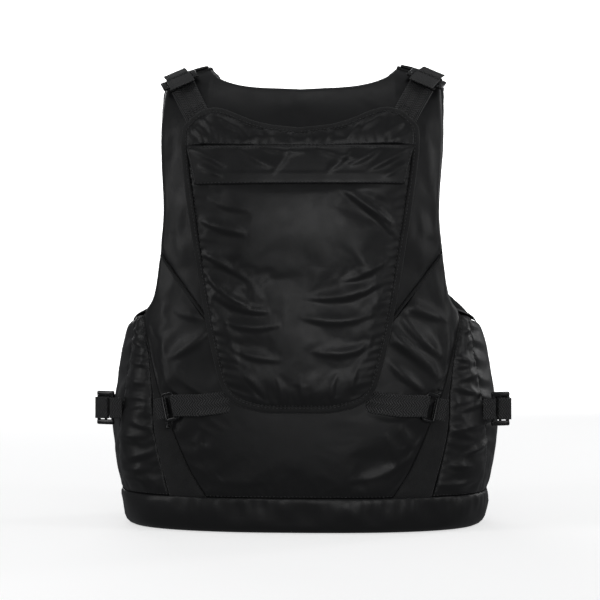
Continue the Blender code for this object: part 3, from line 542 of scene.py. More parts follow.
class Shading:
    """A Principled material in the making. Its textures follow the object's own place, in metres."""

    def __init__(self, name, colour, roughness, sheen=0.0):
        self.material = bpy.data.materials.new(name)
        self.material.use_nodes = True
        self.material.diffuse_color = (*colour, 1)
        self.nodes, self.links = self.material.node_tree.nodes, self.material.node_tree.links
        self.place = self.node("TexCoord").outputs["Object"]
        self.finish(**{"Base Color": (*colour, 1), "Roughness": roughness})
        self.finish(**{"Sheen Weight": sheen, "Sheen Roughness": 0.5})

    def fill(self, node, inputs):
        """Sets each input to a value, or links it to a socket."""
        for key, value in inputs.items():
            if isinstance(value, bpy.types.NodeSocket):
                self.links.new(value, node.inputs[key])
            else:
                node.inputs[key].default_value = value

    def node(self, kind, inputs=None, **options):
        node = self.nodes.new("ShaderNode" + kind)
        for key, value in options.items():
            setattr(node, key, value)
        self.fill(node, inputs or {})
        return node

    def finish(self, **inputs):
        """Fills the shader's own inputs."""
        self.fill(self.nodes["Principled BSDF"], inputs)
        return self.material

    def noise(self, scale, detail=3.0, stretch=(1, 1, 1)):
        """A noise texture's value over the object, scale in blotches per metre."""
        mapping = self.node("Mapping", {"Scale": stretch, "Vector": self.place})
        texture = {"Scale": scale, "Detail": detail, "Vector": mapping.outputs["Vector"]}
        return self.node("TexNoise", texture).outputs["Fac"]

    def spread(self, value, low, high, start=0.3, end=0.7):
        """A value from start to end stretched to run from low to high."""
        ends = {"From Min": start, "From Max": end, "To Min": low, "To Max": high}
        return self.node("MapRange", {"Value": value, **ends}).outputs["Result"]

    def tint(self, value, dark, light):
        """A colour between two others."""
        colours = {6: (*dark, 1), 7: (*light, 1)}
        return self.node("Mix", {"Factor": value, **colours}, data_type="RGBA").outputs[2]

    def combine(self, operation, a, b):
        return self.node("Math", {0: a, 1: b}, operation=operation).outputs[0]

    def relief(self, height, depth, before=None):
        """A bump of a real depth in metres, on top of another one."""
        below = {} if before is None else {"Normal": before}
        bump = {"Strength": 1.0, "Distance": depth, "Height": height}
        return self.node("Bump", {**bump, **below}).outputs["Normal"]

    def waves(self, vector, pitch, axis="X"):
        """Even ridges, one for each pitch in metres of a vector's axis."""
        scale = 2 * math.pi / (20 * pitch)
        return self.node("TexWave", {"Scale": scale, "Vector": vector}, bands_direction=axis).outputs["Fac"]

    def weave(self, pitch):
        """A plain weave over the cloth's own flat measure."""
        flat = self.node("UVMap").outputs["UV"]
        return self.combine("MULTIPLY", self.waves(flat, pitch, "X"), self.waves(flat, pitch, "Y"))


def cloth_material(name, colour, light, rough, pitch, depth, crinkle=0.0, sheen=0.0, grain=0.0, yarn=160):
    """Woven cloth: yarns, patchy gloss, soft crinkles and a little colour change."""
    made = Shading(name, colour, sum(rough) / 2, sheen)
    normal = made.relief(made.weave(pitch), depth)
    if crinkle:
        normal = made.relief(made.noise(130, 3, (1, 1, 0.55)), crinkle, normal)
    if grain:
        pebbles = made.node("TexVoronoi", {"Scale": 900, "Vector": made.place})
        normal = made.relief(pebbles.outputs["Distance"], -grain, normal)
    colours = made.tint(made.noise(yarn, 3), colour, light)
    gloss = made.spread(made.noise(45, 4), *rough)
    return made.finish(**{"Base Color": colours, "Roughness": gloss, "Normal": normal})


def plastic_material(name, colour, rough, grain):
    """Moulded plastic: a fine spark-eroded grain and gloss that changes with handling."""
    made = Shading(name, colour, sum(rough) / 2)
    worn = made.spread(made.noise(400, 6), 0, 1, 0.45, 0.75)
    colours = made.tint(worn, colour, tuple(2.2 * part for part in colour))
    gloss = made.spread(made.noise(110, 4), *rough)
    normal = made.relief(made.noise(2600, 4), grain)
    return made.finish(**{"Base Color": colours, "Roughness": gloss, "Normal": normal})


def webbing_material():
    """Herringbone webbing: slanting ribs that turn at each column, under a dry matte yarn."""
    made = Shading("webbing", (0.007, 0.007, 0.0075), 0.62, 0.06)
    flat = made.node("SeparateXYZ", {0: made.node("UVMap").outputs["UV"]}).outputs
    fold = made.combine("PINGPONG", flat["X"], 0.005)
    slope = made.combine("ADD", flat["Y"], made.combine("MULTIPLY", fold, 0.9))
    ribs = made.waves(made.node("CombineXYZ", {0: slope}).outputs[0], 0.0032)
    # The colour follows the weave's own rib pattern, but it also darkens the rib valleys and lightens the rib
    # crests: painted shade and painted highlight on the ribs.
    colours = made.tint(ribs, (0.0015, 0.0015, 0.0017), (0.05, 0.05, 0.051))
    gloss = made.spread(made.noise(500, 4), 0.42, 0.62)
    normal = made.relief(made.noise(4000, 2), 0.00008, made.relief(ribs, 0.0006))
    return made.finish(**{"Base Color": colours, "Roughness": gloss, "Normal": normal})


def stage_material():
    """Pale seamless paper that glows a little, so that it is pale from every side."""
    made = Shading("paper", (0.9, 0.9, 0.9), 0.85)
    colours = made.tint(made.noise(3, 2), (0.88, 0.88, 0.88), (0.92, 0.92, 0.92))
    return made.finish(**{"Base Color": colours, "Emission Color": (1, 1, 1, 1), "Emission Strength": 0.62})


NYLON = cloth_material(
    "nylon", (0.0055, 0.0055, 0.0059), (0.0135, 0.0135, 0.0141), (0.36, 0.48), 0.0006, 0.000012,
    crinkle=0.0001, yarn=1300,
)
NYLON.node_tree.nodes["Principled BSDF"].inputs["Specular IOR Level"].default_value = 0.43
MATTE = cloth_material(
    "matte", (0.009, 0.009, 0.0094), (0.015, 0.015, 0.0154), (0.72, 0.88), 0.0008, 0.00002,
    sheen=0.12, grain=0.00035,
)
LINING_CLOTH = cloth_material(
    "lining", (0.018, 0.018, 0.02), (0.026, 0.026, 0.028), (0.7, 0.85), 0.0012, 0.0001, sheen=0.1,
)
FOAM = cloth_material(
    "foam", (0.03, 0.03, 0.032), (0.045, 0.045, 0.048), (0.8, 0.95), 0.002, 0.00004, grain=0.0002,
)
WEBBING = webbing_material()
PLASTIC = plastic_material("plastic", (0.008, 0.008, 0.0085), (0.1, 0.2), 0.00002)
THREAD = plastic_material("thread", (0.03, 0.03, 0.031), (0.4, 0.6), 0.00003)
METAL = plastic_material("painted_zinc", (0.012, 0.012, 0.0125), (0.26, 0.4), 0.00002)
METAL.node_tree.nodes["Principled BSDF"].inputs["Metallic"].default_value = 0.3
SLOTS = {
    "shell_nylon": NYLON, "matte_fabric": MATTE, "webbing": WEBBING, "buckle_plastic": PLASTIC,
    "foam": FOAM, "lining": LINING_CLOTH, "zip_tape": MATTE, "zip_metal": METAL,
}


def dress_nodes():
    """Gives each carried-over node its finish."""
    for part in frame["record"]["subparts"]:
        obj = bpy.data.objects[part["node"]]
        for slot in obj.material_slots:
            slot.material = SLOTS[part["material_slot"]]


# Camera, lights and stage.

CAMERA_TURN = math.radians(2.7)
CAMERA_REACH, CAMERA_HEIGHT, CAMERA_AIM = 2.16, 0.264, -0.0054
STAGE_RADIUS, STAGE_COVE, STAGE_HEIGHT = 4.4, 1.4, 3.4


def add_camera():
    camera = bpy.data.objects.new("camera", bpy.data.cameras.new("camera"))
    bpy.context.collection.objects.link(camera)
    camera.data.lens, camera.data.sensor_width = 108, 36
    across, away = math.sin(CAMERA_TURN), -math.cos(CAMERA_TURN)
    camera.location = (CAMERA_REACH * across, CAMERA_REACH * away, CAMERA_HEIGHT)
    look_at(camera, (CAMERA_AIM, 0, CAMERA_HEIGHT))
    bpy.context.scene.camera = camera


def look_at(obj, target):
    obj.rotation_euler = (Vector(target) - obj.location).to_track_quat("-Z", "Y").to_euler()


def add_light(name, place, target, size, watts, spread=180):
    light = bpy.data.lights.new(name, "AREA")
    light.shape = "RECTANGLE"
    light.size, light.size_y = size
    light.energy = watts
    light.spread = math.radians(spread)
    obj = bpy.data.objects.new(name, light)
    bpy.context.collection.objects.link(obj)
    obj.location = place
    obj.visible_camera = False
    look_at(obj, target)


def add_stage():
    """A round cove of paper: a floor that curves up into a wall, far from the vest on every side.

    The cloth doesn't mirror the paper, so that it stays black.
    """
    profile = [(0.02, 0.0), (1.0, 0.0), (2.0, 0.0)]
    for turn in np.linspace(0, math.pi / 2, 14):
        out, up = math.sin(turn), 1 - math.cos(turn)
        profile.append((STAGE_RADIUS - STAGE_COVE + STAGE_COVE * out, STAGE_COVE * up))
    profile.append((STAGE_RADIUS, STAGE_HEIGHT))
    turns = np.linspace(0, 2 * np.pi, 96, endpoint=False)
    points = []
    for radius, height in profile:
        for turn in turns:
            place = np.array((radius * math.cos(turn), radius * math.sin(turn), height)) / MM
            points.append(place - (0, 0, 0.6))
    faces = [tuple(face) for face in grid_faces(len(profile), len(turns), wrap=True)]
    paper = add_mesh("paper", points, faces + [tuple(range(len(turns)))], stage_material())
    paper.visible_glossy = False
    paper.visible_diffuse = False


def add_studio():
    world = bpy.data.worlds.new("studio")
    bpy.context.scene.world = world
    world.use_nodes = True
    sky = world.node_tree.nodes["Background"].inputs
    sky["Color"].default_value = (0.95, 0.97, 1.0, 1)
    sky["Strength"].default_value = 0.14
    add_light("left_strip", (-1.9, -1.0, 1.0), (0, 0, 0.15), (0.45, 1.6), 6)
    add_light("right_strip", (2.0, -0.8, 1.0), (0, 0, 0.15), (0.4, 1.5), 5.5)
    add_light("front", (0.4, -3.2, 0.95), (0, 0, 0.25), (2.2, 1.2), 16)
    add_light("behind", (-0.9, 3.0, 1.3), (0, 0, 0.3), (1.8, 1.2), 15)
    add_light("behind_strip", (2.0, 1.4, 1.1), (0, 0, 0.3), (0.4, 1.5), 6)
    add_light("top", (0.0, -0.2, 2.5), (0, 0, 0.3), (1.4, 0.9), 3)
    add_light("back", (0.0, 2.2, 3.1), (0, 4.4, 0.9), (3.5, 0.5), 60, spread=100)
    add_stage()
    bpy.context.scene.view_settings.view_transform = "Standard"


# The vest's panels.


def right_and_left(name, grid, **options):
    return [Panel(name + "_right", grid, **options), Panel(name + "_left", flip(grid), **options)]


LOWER_FOLDS = (
    ((102, 266), (132, 250), (170, 240), 6.0, 3.8), ((110, 252), (128, 222), (162, 198), 6.5, 4.6),
    ((96, 220), (132, 208), (158, 172), 6.5, 4.8), ((90, 240), (106, 226), (126, 204), 5.0, 2.8),
    ((98, 198), (116, 176), (140, 160), 5.0, 3.6), ((-92, 250), (-116, 240), (-146, 252), 6.0, 2.6),
    ((-96, 234), (-120, 210), (-152, 196), 6.0, 3.6), ((112, 124), (124, 108), (120, 88), 4.5, 2.0),
    ((96, 114), (110, 96), (108, 72), 4.5, 2.0), ((-108, 118), (-122, 98), (-104, 74), 5.0, 1.8),
    ((122, 82), (96, 64), (52, 58), 5.5, 1.6), ((-104, 62), (-70, 54), (-30, 60), 5.5, 1.4),
    ((-160, 190), (-150, 160), (-128, 150), 4.5, 2.0), ((74, 140), (100, 128), (128, 132), 4.5, 1.6),
)

UPPER_FOLDS = (
    ((-150, 500), (-140, 430), (-150, 360), 11.0, 1.2), ((150, 500), (142, 440), (152, 380), 11.0, 1.4),
    ((-118, 496), (-112, 470), (-124, 440), 6.0, 1.0), ((112, 500), (116, 470), (132, 452), 6.0, 1.2),
    ((-134, 380), (-146, 330), (-130, 300), 8.0, 1.2), ((134, 370), (146, 330), (132, 296), 8.0, 1.6),
    ((60, 508), (74, 490), (100, 480), 5.0, 0.8), ((-20, 500), (-24, 480), (-16, 466), 6.0, 0.6),
)


def strewn_folds(seed, across, heights, length, sag, width, height):
    """Folds that lie roughly level, one near each height on both sides, each a little different."""
    draw = np.random.default_rng(seed)
    folds = []
    for side in (1, -1):
        for z in heights:
            x, at = draw.uniform(*across), z + draw.uniform(-5, 5)
            reach, tilt = length * draw.uniform(0.6, 1.2), draw.uniform(-9, 9)
            middle = (side * x, at + draw.uniform(-sag, sag))
            start, end = ((side * (x + share * reach / 2), at + share * tilt) for share in (-1, 1))
            size = (width * draw.uniform(0.7, 1.2), height * draw.uniform(0.5, 1.2))
            folds.append((start, middle, end, *size))
    return tuple(folds)


def back_panels():
    seam = line(rounded(PIPING_SEAM[::-1]))
    arm = line(rounded(BACK_ARMHOLE[2:]))
    top = np.concatenate([line(rounded(NECKLINE)), [spot(ARM_HALF, None)]])
    upper = patch(both_halves(seam), both_halves(top), flip(arm), arm, 3.2)
    band_top = [point for point in rounded(BACK_ARMHOLE) if point[1] < 320]
    edge = np.concatenate([line(BAND_INNER), line(band_top[1:]), seam[-1:]])
    bottom = line(((0, 40), (106, 40)))
    lower = patch(both_halves(bottom), both_halves(seam), flip(edge), edge, 3.2)
    return [
        Panel(
            "upper_back_shell", upper, NYLON, puff=1.6, dip=1.2, roll=9, slack=0.002, edge_slack=0.005,
            low=-1.5, high=3.0, folds=UPPER_FOLDS,
        ),
        Panel(
            "lower_back_shell", lower, NYLON, puff=2.4, settle=10, dip=1.0, slack=0.008, edge_slack=0.022,
            low=-2.0, high=4.0, folds=LOWER_FOLDS, puckers=(("bottom", 12, 0.9, 6),),
        ),
    ]


def side_panels():
    band = line(BAND_OUTER)
    seam = line(SIDE_SEAM)
    back = patch(np.stack([band[0], seam[0]]), np.stack([band[-1], seam[-1]]), band, seam, 2.6)
    front = line(FRONT_SEAM, front=True)
    dip = np.array([seam[-1], (90, SIDE_DIP), (104, SIDE_DIP + 3), front[-1]])
    hem = np.array([seam[0], (90, seam[0][1]), front[0]])
    side = patch(hem, dip, seam, front, 3.2)
    behind = right_and_left(
        "back_side_panel", back, material=NYLON, puff=4.2, dip=1.0, slack=0.035, low=-3.0, high=5.0,
        folds=strewn_folds(3, (176, 206), range(58, 232, 13), 44, 8, 3.8, 3.4),
        puckers=(("left", 9, 0.7, 6), ("right", 10, 0.7, 6)),
    )
    return behind + right_and_left(
        "side_panel", side, material=NYLON, lift=-1.6, puff=0.6, settle=10, dip=1.2, slack=0.025,
        edge_slack=0.035, high=3.5,
        puckers=(("left", 19, 1.6, 22), ("right", 23, 1.6, 22), ("bottom", 15, 1.2, 9)),
    )


def side_bands():
    inner, outer = line(BAND_INNER), line(BAND_OUTER)
    grid = patch(np.stack([inner[0], outer[0]]), np.stack([inner[-1], outer[-1]]), inner, outer, 2.4)
    shape = {"puff": 2.2, "settle": 6, "dip": 0.8}
    return right_and_left("side_band", grid, material=MATTE, **shape, slack=0.003, low=-0.8, high=1.5)


FRONT_FOLDS = (
    ((40, 330), (84, 322), (140, 344), 7.0, 2.2), ((36, 250), (80, 236), (140, 252), 8.0, 2.6),
    ((30, 180), (72, 168), (120, 176), 7.0, 2.0), ((60, 150), (110, 134), (160, 146), 7.0, 2.4),
    ((34, 96), (84, 84), (140, 98), 7.0, 2.0), ((80, 420), (110, 390), (150, 380), 7.0, 1.8),
    ((112, 512), (120, 470), (112, 430), 7.0, 1.8), ((150, 300), (128, 290), (104, 300), 5.5, 2.0),
    ((120, 60), (110, 80), (116, 106), 5.0, 1.6), ((60, 46), (66, 60), (58, 80), 5.0, 1.4),
)


def mirrored_folds(folds, shift):
    """The same folds on the other side, moved up a little so that the sides differ."""
    return tuple(
        (*((-x, z + shift) for x, z in (start, middle, end)), width, height * 0.9)
        for start, middle, end, width, height in folds
    )


def front_panels():
    inner = line(((ZIP_HALF, 40), (ZIP_HALF, FRONT_NECKLINE[0][1])), front=True)
    outer = line(FRONT_SEAM[:-1] + FRONT_ARMHOLE, front=True)
    top = np.concatenate([line(rounded(FRONT_NECKLINE), front=True), outer[-1:]])
    bottom = np.stack([inner[0], outer[0]])
    # Seen from outside the front runs the other way, so its columns go from the arm to the zip.
    grid = patch(bottom[::-1], top[::-1], outer, inner, 3.4)
    return right_and_left(
        "front_shell", grid, material=NYLON, puff=4.0, settle=12, dip=1.2, slack=0.018, edge_slack=0.026,
        high=5.0, folds=FRONT_FOLDS + mirrored_folds(FRONT_FOLDS, 11),
        puckers=(("right", 17, 1.2, 12), ("bottom", 15, 1.0, 8)),
    )


# The pocket.


def pocket_lift(places):
    """How far the pocket's back stands off the vest: it is flatter than the wearer's back."""
    return POCKET_STANDOFF + POCKET_FLARE * (places[..., 0] / 125) ** 2


def bulge(extra):
    """Heights over the pocket's back, for cloth that stands furthest out in its middle."""
    def lift(places):
        share = np.maximum(1 - (places[..., 0] / 118) ** 2, 0)
        rise = np.maximum(1 - ((places[..., 2] - 290) / 160) ** 2, 0)
        return pocket_lift(places) + extra + POCKET_BULGE * share * rise
    return lift


def pocket_chain(inset, steps=8):
    """The half outline from top middle to bottom middle, moved inwards."""
    outline = np.array(rounded(POCKET, steps))
    along = unit(np.gradient(outline, axis=0))
    moved = outline + np.stack([along[:, 1], -along[:, 0]], axis=-1) * inset
    moved[0, 0] = moved[-1, 0] = 0
    return [tuple(point) for point in moved]


def half_width_at(height, inset):
    """Half the pocket's width at a height on its straight sides."""
    chain = pocket_chain(inset)[20:]
    heights = [-z for _, z in chain]
    return float(np.interp(-height, heights, [x for x, _ in chain]))


def pocket_grid(inset, cell, low=None, high=None):
    """A grid over the pocket, or over the part of it between two heights."""
    chain = pocket_chain(inset)
    a, b = POCKET_TOP_CORNER * 8, POCKET_BOTTOM_CORNER * 8
    top, side, bottom = chain[: a + 1], chain[a : b + 1], chain[b:][::-1]
    if high is not None:
        width = half_width_at(high, inset)
        side = [(width, high)] + [point for point in side if point[1] < high - 2]
        top = [(0, high), (width, high)]
    if low is not None:
        width = half_width_at(low, inset)
        side = [point for point in side if point[1] > low + 2] + [(width, low)]
        bottom = [(0, low), (width, low)]
    side = line(side[::-1])
    return patch(both_halves(line(bottom)), both_halves(line(top)), flip(side), side, cell)


def share_above(z, level, soft):
    """From 0 below a height to 1 above it. With a negative softness it runs the other way."""
    return 1 / (1 + np.exp((level - z) / soft))


def face_ceiling(places):
    """How far the pocket face's folds may rise: freely below the flap, hardly at all under it."""
    return 5.5 - 4.7 * share_above(places[..., 2], FLAP_BOTTOM - 6, 2.0)


FACE_FOLDS = (
    ((-112, 356), (-88, 344), (-56, 336), 5.5, 4.0), ((-108, 318), (-84, 306), (-54, 284), 5.5, 4.6),
    ((-104, 296), (-84, 268), (-52, 256), 5.0, 4.0), ((-98, 274), (-70, 250), (-30, 250), 5.5, 4.0),
    ((-92, 246), (-62, 226), (-18, 236), 5.0, 2.4), ((44, 388), (74, 372), (106, 346), 5.0, 4.2),
    ((66, 372), (90, 356), (110, 330), 4.5, 2.4), ((98, 312), (78, 292), (46, 284), 5.5, 3.8),
    ((92, 284), (60, 262), (6, 266), 6.0, 4.0), ((86, 250), (50, 232), (-4, 246), 5.5, 2.6),
    ((-78, 214), (-56, 196), (-16, 196), 5.0, 2.4), ((82, 216), (56, 198), (14, 206), 5.5, 2.6),
    ((-64, 184), (-48, 170), (-36, 152), 4.0, 1.8), ((-24, 178), (-18, 160), (-18, 146), 3.6, 1.6),
    ((4, 182), (0, 160), (8, 144), 3.6, 1.6), ((44, 184), (36, 166), (38, 148), 3.8, 1.8),
    ((66, 190), (58, 176), (60, 156), 3.8, 1.6), ((-102, 380), (-84, 366), (-52, 362), 4.5, 1.8),
)


TOP_FOLDS = (
    ((-122, 460), (-112, 450), (-102, 440), 3.0, 3.2), ((-114, 470), (-102, 460), (-96, 450), 3.0, 3.2),
    ((-98, 474), (-84, 462), (-64, 450), 3.6, 3.2), ((-74, 466), (-66, 452), (-56, 440), 3.4, 2.0),
    ((-42, 460), (-36, 450), (-30, 440), 3.2, 1.8), ((-16, 456), (-12, 448), (-8, 440), 3.2, 1.6),
    ((14, 456), (10, 448), (8, 440), 3.2, 1.6), ((42, 460), (34, 450), (30, 440), 3.4, 1.8),
    ((72, 466), (60, 454), (52, 440), 3.4, 3.0), ((96, 474), (82, 462), (66, 452), 3.6, 3.2),
    ((118, 466), (108, 454), (94, 446), 3.8, 2.4), ((122, 450), (112, 444), (98, 440), 3.2, 1.8),
)


def pocket_panels():
    inside = POCKET_RIM - 0.6
    face = Panel(
        "pocket_face", pocket_grid(inside, 2.0, high=MOUTH_TOP - 2), NYLON, lift=bulge(5.2), puff=1.8,
        settle=7, dip=0.5, slack=0.009, edge_slack=0.024, low=-2.4, folds=FACE_FOLDS, ceiling=face_ceiling,
        puckers=(("left", 9.5, 0.9, 8), ("right", 9.5, 0.9, 8), ("bottom", 10, 0.8, 8)),
    )
    band = Panel(
        "pocket_top_band", pocket_grid(inside, 2.2, low=FLAP_TOP - 1), NYLON, lift=bulge(7.3), puff=1.3,
        settle=5, dip=0.6, slack=0.025, low=-2.0, high=3.0, folds=TOP_FOLDS,
        puckers=(("top", 10.5, 0.9, 9), ("bottom", 9, 0.8, 6)),
    )
    return [face, band]


# The pocket's trim and flap.


def sweep(name, loops, material, closed=False, flat=None):
    """A solid through cross-section loops, arrays of points that run the same way round."""
    loops = np.asarray(loops)
    count, sides = loops.shape[:2]
    index = np.arange(count * sides).reshape(count, sides)
    after = np.roll(index, -1, axis=0) if closed else index[1:]
    before = index if closed else index[:-1]
    walls = np.stack([before, np.roll(before, -1, axis=1), np.roll(after, -1, axis=1), after], axis=-1)
    faces = [tuple(face) for face in walls.reshape(-1, 4)]
    if not closed:
        faces += [tuple(index[0][::-1]), tuple(index[-1])]
    flat = sweep_measure(loops) if flat is None else flat
    return face_out(add_mesh(name, loops.reshape(-1, 3), faces, material, flat))


def face_out(piece):
    """Turns a closed piece's faces outwards."""
    shape = bmesh.new()
    shape.from_mesh(piece.data)
    bmesh.ops.recalc_face_normals(shape, faces=shape.faces)
    shape.to_mesh(piece.data)
    shape.free()
    return piece


def sweep_measure(loops):
    """A flat measure over a sweep: round the section and along the run, in metres."""
    run = np.concatenate([[0], np.cumsum(np.linalg.norm(np.diff(loops, axis=0), axis=2).mean(axis=1))])
    return np.stack(np.broadcast_arrays(run_of(loops[0])[None, :], run[:, None]), axis=-1).reshape(-1, 2) * MM


def lifted(spots, amount):
    """Points at a height over the torso, or at a function of the torso's points."""
    base = torso(spots)
    height = amount(base) if callable(amount) else amount
    return base + outward(spots) * np.asarray(height)[..., None]


def closed_outline(inset):
    half = line(pocket_chain(inset, steps=14))
    return np.concatenate([half, flip(half)[-2:0:-1]])


def add_pocket_binding():
    """A rolled edge of matte tape round the whole pocket."""
    section = (
        (7.2, 7.0), (6.4, 7.7), (5.2, 7.5), (4.0, 7.8), (2.0, 7.8), (0.6, 7.0), (-0.2, 5.2),
        (-0.5, 3.2), (-0.1, 1.4), (0.8, 0.4), (3.0, 0.2), (5.9, 0.3), (6.6, 5.6),
    )
    rings = []
    for inset, height in section:
        chain = closed_outline(inset)
        along = np.arange(len(chain))
        wave = (0.22 * np.sin(along * 0.9) + 0.18 * np.sin(along * 0.37 + 1)) * height / 7.5
        rings.append(lifted(chain, pocket_lift(torso(chain)) + height + wave))
    binding = sweep("pocket_edge", np.stack(rings, axis=1)[:, ::-1], MATTE, closed=True)
    stand_for(binding, "pocket_binding")
    chain = closed_outline(5.4)
    stitches("pocket_edge_stitches", [(lifted(chain, pocket_lift(torso(chain)) + 7.6), outward(chain))])


def add_pocket_back():
    grid = pocket_grid(POCKET_RIM - 1, 6)
    outer = lifted(grid, lambda base: pocket_lift(base) + 0.9 + 0.2 * ripple(base))
    back = slab("pocket_inside", outer, outer - outward(grid) * 0.8, NYLON)
    stand_for(back, "pocket_back")
    declare_sheet(outer)


FLAP_FOLDS = (
    ((-120, 432), (-100, 424), (-80, 410), 4.5, 2.6), ((-112, 414), (-98, 408), (-84, 400), 3.6, 1.8),
    ((-70, 434), (-52, 420), (-28, 410), 5.0, 2.2), ((-44, 434), (-18, 426), (8, 428), 4.5, 1.8),
    ((-8, 434), (-16, 420), (-30, 402), 4.5, 1.8), ((18, 434), (40, 422), (66, 420), 5.0, 2.2),
    ((58, 434), (50, 418), (30, 404), 4.5, 2.0), ((90, 434), (76, 422), (54, 412), 4.5, 2.4),
    ((120, 432), (100, 420), (74, 406), 4.5, 2.8), ((118, 416), (106, 408), (92, 400), 4.0, 1.8),
)


def flap_height(base):
    """The flap's outside: thicker over its doubled hem and tucked in at its seam, with slanting folds."""
    z = base[..., 2]
    hem = 0.55 * share_above(z, FLAP_BOTTOM + 13, -0.6)
    tuck = 2.5 * share_above(z, FLAP_TOP - 1.6, 1.0)
    edge = 0.8 * share_above(z, FLAP_BOTTOM + 1.3, -0.5)
    total = bulge(10.2)(base) + hem - tuck - edge + 0.35 * ripple(base)
    for fold in FLAP_FOLDS:
        total = total + fold_height(base, *fold)
    return total


def flap_grid():
    rows = []
    for v in np.linspace(0, 1, 30):
        height = FLAP_BOTTOM + (FLAP_TOP + 0.8 - FLAP_BOTTOM) * v
        half = FLAP_HALF_BOTTOM + (FLAP_HALF_TOP - FLAP_HALF_BOTTOM) * v
        rows.append([spot(x, height) for x in np.linspace(-half, half, 141)])
    return np.array(rows, float)


def add_flap():
    grid = flap_grid()
    outer = lifted(grid, flap_height)
    flap = slab("flap_cloth", outer, outer - outward(grid) * 1.3, NYLON)
    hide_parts("pocket_flap")
    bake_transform(flap)
    declare_sheet(outer)
    normals = grid_normals(outer)
    reach = (outer[:, 0, 2] - outer[0, 0, 2]) / (outer[-1, 0, 2] - outer[0, 0, 2])
    for name, height in (("low", 0.045), ("high", 0.93)):
        row = int(abs(reach - height).argmin())
        stitches("flap_stitches_" + name, [(outer[row, 1:-1], normals[row, 1:-1])], "flap")
    for side, column in (("left", 1), ("right", -2)):
        stitches("flap_stitches_" + side, [(outer[1:-4, column], normals[1:-4, column])], "flap")


# Piping and edge bindings.


def add_piping():
    """A round cord along each diagonal seam, sunk in at its upper end."""
    turns = np.linspace(0, 2 * np.pi, 12, endpoint=False)
    for side, name in ((1, "right"), (-1, "left")):
        chain = resample(line(rounded(PIPING_SEAM[:2])), 60)[3:] * np.array([side, 1])
        spine = lifted(chain, 0.9 - 2.4 * np.exp(-np.arange(len(chain)) / 2.5))
        ahead = unit(np.gradient(spine, axis=0))
        across = unit(np.cross(ahead, outward(chain)))
        up = np.cross(across, ahead)
        ring = 1.7 * (across[:, None] * np.cos(turns)[:, None] + up[:, None] * np.sin(turns)[:, None])
        stand_for(sweep("piping_" + name, spine[:, None] + ring, MATTE), "back_piping_" + name)


def add_edge_lip(name, chain, node, closed=False):
    """The shell's own cloth carried round the loose edge to the lining."""
    base, normal = torso(chain), outward(chain)
    if closed:
        ahead = np.roll(base, -1, axis=0) - np.roll(base, 1, axis=0)
    else:
        ahead = np.gradient(base, axis=0)
    beyond = unit(np.cross(ahead, normal))
    near, far = -4.5, lining_outer(base) - 1.2
    rings = []
    count = 12
    along = np.cumsum(np.linalg.norm(ahead, axis=1))
    for layer, back in ((0.0, False), (1.0, True)):
        for k in range(count + 1):
            t = (count - k if back else k) / count
            round_out = math.sin(math.pi * t)
            wave = 0.25 * np.sin(along / 9.0 + 3 * t) + 0.2 * np.sin(along / 23.0 - 2 * t)
            reach = 0.4 - (4.7 - layer) * round_out**0.55 + wave * round_out
            depth = near + (far - near) * (t * 0.96 + 0.02 if back else t)
            rings.append(base + beyond * reach[:, None] + normal * depth[:, None])
    stand_for(sweep(name, np.stack(rings, axis=1), NYLON, closed=closed), node)


def add_edge_lips():
    add_edge_lip("armhole_lip_right", ARMHOLE, "armhole_binding_right", closed=True)
    add_edge_lip("armhole_lip_left", flip(ARMHOLE)[::-1], "armhole_binding_left", closed=True)
    add_edge_lip("neck_lip", NECK, "neck_binding")


def cap_rows(inset):
    """Spots over the top of the right shoulder, from the back to the front."""
    columns = np.linspace(CAP_INNER + inset, CAP_OUTER - inset, 26)
    behind = np.linspace(736 + inset * 2, BACK_DOME_TOP, 16)
    ahead = np.linspace(FRONT_DOME_TOP - 5, FRONT_DOME_TOP - 90 + inset * 2, 20)
    rows = [[spot_at_rise(x, rise) for x in columns] for rise in behind]
    return np.array(rows + [[spot_at_rise(x, rise, True) for x in columns] for rise in ahead], float)


def add_shoulder_caps():
    """Two layers of cloth stitched over each shoulder, the upper one narrower."""
    for side in ("right", "left"):
        for layer, inset, top in (("cloth", 0, 3.6), ("band", 4, 6.4)):
            grid = cap_rows(inset)[::-1]
            base, normal = torso(grid), outward(grid)
            sides = edge_distances(base)
            edge = np.minimum.reduce(list(sides.values()))
            soft = 0.35 * np.sin(sides["left"] / 5.3 + sides["bottom"] / 11) + 0.4 * ripple(base)
            hem = 0.9 * np.exp(-((edge / 1.3) ** 2)) + 0.7 * np.exp(-(((edge - 4.5) / 1.1) ** 2))
            outer, inner = base + normal * (top - hem + soft * 0.5)[..., None], base + normal * (top - 2.6)
            if side == "left":
                outer, inner = outer[:, ::-1] * (-1, 1, 1), inner[:, ::-1] * (-1, 1, 1)
            piece = face_out(slab("shoulder_cap_" + side + "_" + layer, outer, inner, NYLON))
            if layer == "cloth":
                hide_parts("shoulder_cap_" + side)
            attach(piece, "vest")
            declare_sheet(outer)


# Hem, linings and foam.


HEM_SECTION = (
    (-1.4, 40.4), (-0.3, 39.6), (0.5, 37.5), (0.9, 33), (1.3, 26), (1.5, 17), (1.3, 10), (0.6, 5),
    (-1.4, 1.8), (-4.6, 0.2), (-9.5, 0.2), (-12.4, 1.6), (-14.2, 5), (-14.8, 12), (-14.9, 24),
    (-14.4, 35), (-12.6, 38.6), (-8, 40),
)


